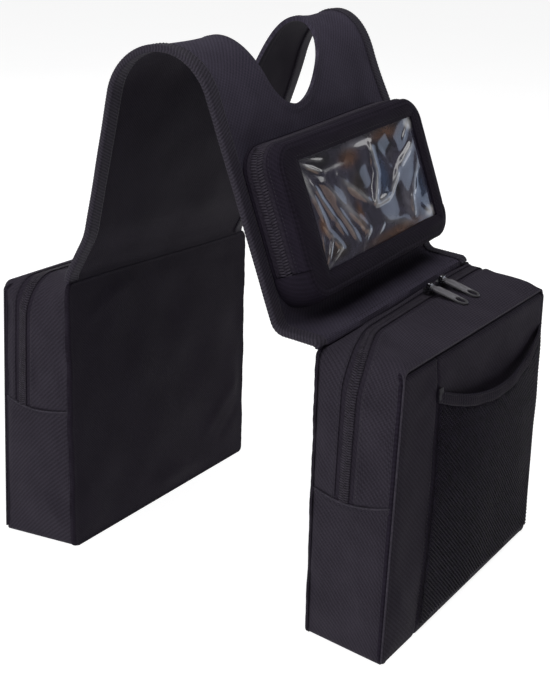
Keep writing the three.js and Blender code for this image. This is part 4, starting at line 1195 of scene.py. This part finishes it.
# Soft patches of painted reflection on the film: middle, half width, half height and colour
FILM_REFLECTIONS = [
    (-12, 102, 15, 8, "brown"), (52, 110, 26, 7, "brown"), (44, 100, 20, 7, "dark"),
    (-56, 107, 26, 8, "dark"),
    (30, 74, 9, 20, "slate"), (86, 52, 11, 19, "slate"), (-6, 79, 13, 12, "umber"), (-18, 53, 5, 12, "brown"),
    (-74, 58, 6, 7, "brown"), (38, 26, 52, 5, "brown"), (49, 58, 3, 8, "dark"), (-34, 68, 8, 18, "lilac"),
    (62, 46, 9, 14, "lilac"), (4, 113, 22, 3, "lilac"), (-62, 34, 16, 7, "umber"), (94, 112, 7, 6, "pale"),
    (92, 29, 8, 5, "pale"),
]


def film_painted_reflections(y, b):
    """The film's grey with painted reflections at each place, and a painted highlight on the crests of its
    folds.
    """
    colour = np.tile(FILM_GREY, (*y.shape, 1))
    for middle, level, wide, high, name in FILM_REFLECTIONS:
        away = ((y - middle) / wide) ** 2 + ((b - level) / high) ** 2
        share = np.exp(-away ** 1.6)[..., None]
        colour = colour * (1 - share) + np.array(FILM_REFLECTION_COLOURS[name]) * share
    crest_highlight = np.clip(folds(y, b, FILM_RIDGES), 0, 1)[..., None] ** 3
    return colour * (1 - 0.5 * crest_highlight) + FILM_CREST_HIGHLIGHT * crest_highlight


def make_film():
    """The clear window: a slack sheet of vinyl held flat along its sewn edges."""
    columns = steps(WINDOW_LEFT - WINDOW_OVERLAP, 1.0, WINDOW_RIGHT + WINDOW_OVERLAP)
    rows = steps(WINDOW_BOTTOM - WINDOW_OVERLAP, 1.0, WINDOW_TOP + WINDOW_OVERLAP)
    y, b = np.meshgrid(columns, rows)
    soft = folds(y, b, FILM_RIDGES + FILM_HOLLOWS) + ripples(y, b, FILM_RIPPLES)
    rise = soft * ease(in_window(y, b), -1.0, 17.0) - FILM_DEPTH
    outer, inner = (phone_face_point(y, b, level) for level in (rise, rise - FILM_THICK))
    piece = grid_sheet("phone_window_film", "phone_window", "film", outer, inner, y, b, film)
    # Painted light: the film's colour holds painted reflections, and painted highlights on its ridges
    paint_light(piece, np.tile(film_painted_reflections(y, b).reshape(-1, 3), (2, 1)))


phone_sewn = make_phone_pouch() + make_phone_face()
make_film()
stitch_rows("phone_stitches", phone_sewn, PHONE_STITCH_PITCH, PHONE_STITCH_LENGTH)

# Sliders keep their solids. Each pull is a bevelled plate with a ring end, on an eye round the slider's bar

PULL_LENGTH, PULL_HALF, PULL_THICK, PULL_GAP = 38.0, 5.7, 1.6, 0.5
AXIS_RISE = 7.6
EYE_INNER, EYE_OUTER, EYE_HALF, EYE_BEVEL = 1.3, 2.4, 2.9, 0.35
RING_MIDDLE, RING_LONG, RING_WIDE = 31.0, 4.9, 4.1
NECK_START, NECK_END, PLATE_START = 1.9, 5.0, 7.0
PULLS = {"near": {"a": 30.0, "b": 54.0}, "far": {"a": -46.0, "b": -14.0}}


def loop_faces(rings, first):
    """Faces of a closed loop of closed rings of points."""
    index = first + np.arange(rings[..., 0].size).reshape(rings.shape[:2])
    after = np.roll(index, -1, axis=0)
    return np.stack([index, np.roll(index, -1, axis=1), np.roll(after, -1, axis=1), after], -1).reshape(-1, 4)


def pull_plate():
    """The plate's points on X, with its hinge on Y at the origin."""
    turn = np.radians(np.linspace(-90, 90, 25))
    end = np.stack([PULL_LENGTH - PULL_HALF + PULL_HALF * np.cos(turn), PULL_HALF * np.sin(turn)], -1)
    neck = [(NECK_START, EYE_HALF), (NECK_START, 0.0), (NECK_START, -EYE_HALF), (NECK_END, -EYE_HALF),
            (PLATE_START, -PULL_HALF)]
    corners = np.array([*neck, *end, (PLATE_START, PULL_HALF), (NECK_END, EYE_HALF), neck[0]])
    outline = resample(np.column_stack([corners, np.zeros(len(corners))]), 0.9)[0][:-1, :2]
    spoke = outline - [RING_MIDDLE, 0.0]
    angle = np.arctan2(spoke[:, 1] / RING_WIDE, spoke[:, 0] / RING_LONG)
    hole = np.stack([RING_MIDDLE + RING_LONG * np.cos(angle), RING_WIDE * np.sin(angle)], -1)
    gap = np.linalg.norm(hole - outline, axis=1)[:, None]
    inwards = (hole - outline) / gap
    half = PULL_THICK / 2
    # Rings of points from the outline over the top to the hole: distance inwards and height
    from_edge = ((0.4, -half), (0.0, 0.4 - half), (0.0, half - 0.4), (0.4, half), (1.0, half),
                 (1.5, half - 0.35))
    from_hole = ((1.3, half - 0.35), (0.8, half), (0.3, half), (0.0, half - 0.3), (0.0, 0.3 - half),
                 (0.3, -half))
    rings = []
    for start, hand, section in ((outline, 1, from_edge), (hole, -1, from_hole)):
        for away, z in section:
            place = start + hand * inwards * np.minimum(away, 0.45 * gap)
            rings.append(np.column_stack([place, np.full(len(gap), z)]))
    return np.stack(rings)


def pull_eye():
    """The ring of the eye round the bar."""
    slim, low = EYE_OUTER - EYE_BEVEL, EYE_HALF - EYE_BEVEL
    section = ((EYE_INNER, EYE_HALF), (slim, EYE_HALF), (EYE_OUTER, low), (EYE_OUTER, -low),
               (slim, -EYE_HALF), (EYE_INNER, -EYE_HALF))
    angle = np.linspace(0, 2 * pi, 24, endpoint=False)
    rings = [(r * np.cos(angle), np.full_like(angle, y), r * np.sin(angle)) for r, y in section]
    return np.stack(rings).swapaxes(1, 2)


def make_pull(name, pouch, mark, y):
    depth = pouch["zip"] * POUCH_DEPTH
    hinge = pouch_point(pouch, depth, y, POUCH_HEIGHT + 1.0) + [0, 0, AXIS_RISE - 1.0]
    reach = tucked_depth(pouch, depth, y, POUCH_HEIGHT) + pouch["side"] * PULL_LENGTH
    tip = pouch_form(pouch, reach, y, POUCH_HEIGHT)
    dip = asin((hinge[2] - tip[2] - PULL_THICK / 2 - PULL_GAP) / PULL_LENGTH)
    plate = pull_plate()
    eye = pull_eye()
    faces = [*loop_faces(plate, 0)[:, ::-1].tolist(), *loop_faces(eye, plate[..., 0].size).tolist()]
    points = np.concatenate([plate.reshape(-1, 3), eye.reshape(-1, 3)])
    turn = np.array(Matrix.Rotation(dip, 3, "Y"))
    body = f"{name}_pull_{mark}"
    piece = new_piece(f"{body}_plate", points @ turn.T + hinge, faces, pull_metal, body, body=body)
    piece.data.set_sharp_from_angle(angle=SHARP_METAL)
    # Painted shade: the plate is darker towards its ring end, by its neck and on its bevelled sides
    shade = 1 - 0.6 * ease(points[:, 0], 24, 33) - 0.35 * fade(points[:, 0], 3, 9)
    shade = shade * (1 - 0.5 * ease(np.abs(points[:, 1]), 4.4, PULL_HALF))
    paint_light(piece, np.tile(shade[:, None], 3))
    second_material(piece, black_metal, slice(plate[..., 0].size, None))


for pouch_name, marks in PULLS.items():
    for pull_mark, pull_y in marks.items():
        make_pull(pouch_name, POUCHES[pouch_name], pull_mark, pull_y)
for node_name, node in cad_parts.items():
    if node_name.endswith(("slider", "slider_a", "slider_b")):
        node.data.materials.clear()
        node.data.materials.append(black_metal)
        rounding = node.modifiers.new("rounding", "BEVEL")
        rounding.width = SLIDER_ROUNDING * MM
        rounding.segments = 2

# Floor, light and camera. Lengths are in metres from here on

FLOOR_RADIUS, FLOOR_POINTS, FLOOR_DROP = 14.0, 96, 0.0004
FOCAL_PIXELS, PHOTO_HEIGHT = 1300.0, 674.0
SENSOR = 36.0
AIM = Vector((0.0, 0.002, 0.196))
CAMERA_DISTANCE = 1.2
AZIMUTH, ELEVATION, ROLL = radians(32.3), radians(19.1), radians(1.6)
# Softboxes: where each stands, where it points, its size, its power in watts and its colour
LIGHTS = [
    ("key", (-0.5, -2.5, 1.7), (0.0, 0.0, 0.2), (2.4, 2.4), 55, (1.0, 0.99, 0.98)),
    ("top", (0.0, 0.1, 2.7), (0.0, 0.0, 0.2), (2.6, 2.6), 50, (1.0, 1.0, 1.0)),
    ("warm", (2.3, 1.5, 0.55), (0.1, 0.0, 0.35), (1.1, 0.8), 2.4, (1.0, 0.68, 0.48)),
    ("cool", (0.9, 2.6, 0.5), (0.1, 0.0, 0.35), (1.1, 0.8), 2.4, (0.62, 0.75, 1.0)),
    ("strip", (1.7, 2.1, 1.25), (0.1, 0.0, 0.35), (1.5, 0.22), 2.6, (1.0, 1.0, 1.0)),
    ("glint", (0.7, -1.8, 2.3), (0.1, 0.0, 0.25), (0.18, 0.18), 5, (1.0, 1.0, 1.0)),
    ("rim", (-2.2, 1.2, 1.5), (0.0, 0.0, 0.3), (1.6, 1.6), 8, (1.0, 1.0, 1.0)),
]


def make_floor():
    material, tree, shader = new_material("pale_floor")
    cloud = noise(tree, own_place(tree), 1 / 3.0, 2.0)
    feed(shader, Base_Color=ramp_node(tree, cloud, 0.3, 0.7, (0.30, 0.30, 0.302), (0.32, 0.32, 0.322)),
         Roughness=0.9, Specular_IOR_Level=0.0, Emission_Strength=0.9, Emission_Color=(1, 1, 1, 1))
    angles = np.linspace(0, 2 * pi, FLOOR_POINTS, endpoint=False)
    mesh = bpy.data.meshes.new("floor")
    points = [(FLOOR_RADIUS * cos(t), FLOOR_RADIUS * sin(t), 0) for t in angles]
    mesh.from_pydata(points, [], [tuple(range(FLOOR_POINTS))])
    mesh.materials.append(material)
    floor = link_object("floor", mesh)
    floor.location.z = -FLOOR_DROP


def make_light():
    for name, place, target, size, power, colour in LIGHTS:
        data = bpy.data.lights.new(name, "AREA")
        data.shape = "RECTANGLE"
        data.size, data.size_y = size
        data.energy = power
        data.color = colour
        light = link_object(name, data)
        light.location = place
        light.rotation_mode = "QUATERNION"
        light.rotation_quaternion = (Vector(target) - Vector(place)).to_track_quat("-Z", "Y")


def make_world():
    world = bpy.data.worlds.new("studio")
    bpy.context.scene.world = world
    world.use_nodes = True
    tree = world.node_tree
    tree.nodes.clear()
    heading = add_node(tree, "TexCoord").outputs["Generated"]
    up = feed(add_node(tree, "SeparateXYZ"), Vector=heading).outputs["Z"]
    sky = ramp_node(tree, up, 0.02, 0.7, (0.86, 0.87, 0.89), (0.34, 0.35, 0.38))
    background = feed(add_node(tree, "Background"), Color=sky, Strength=0.15)
    feed(add_node(tree, "OutputWorld"), Surface=background.outputs["Background"])


def make_camera():
    bpy.context.scene.view_settings.view_transform = "Standard"
    data = bpy.data.cameras.new("camera")
    data.sensor_fit = "VERTICAL"
    data.sensor_height = SENSOR
    data.sensor_width = SENSOR
    data.lens = FOCAL_PIXELS * SENSOR / PHOTO_HEIGHT
    data.clip_end = 100
    camera = link_object("camera", data)
    turn = Matrix.Rotation(AZIMUTH, 4, "Z") @ Matrix.Rotation(pi / 2 - ELEVATION, 4, "X")
    turn = turn @ Matrix.Rotation(ROLL, 4, "Z")
    camera.matrix_world = Matrix.Translation(AIM) @ turn @ Matrix.Translation((0, 0, CAMERA_DISTANCE))
    bpy.context.scene.camera = camera


make_floor()
make_light()
make_world()
make_camera()
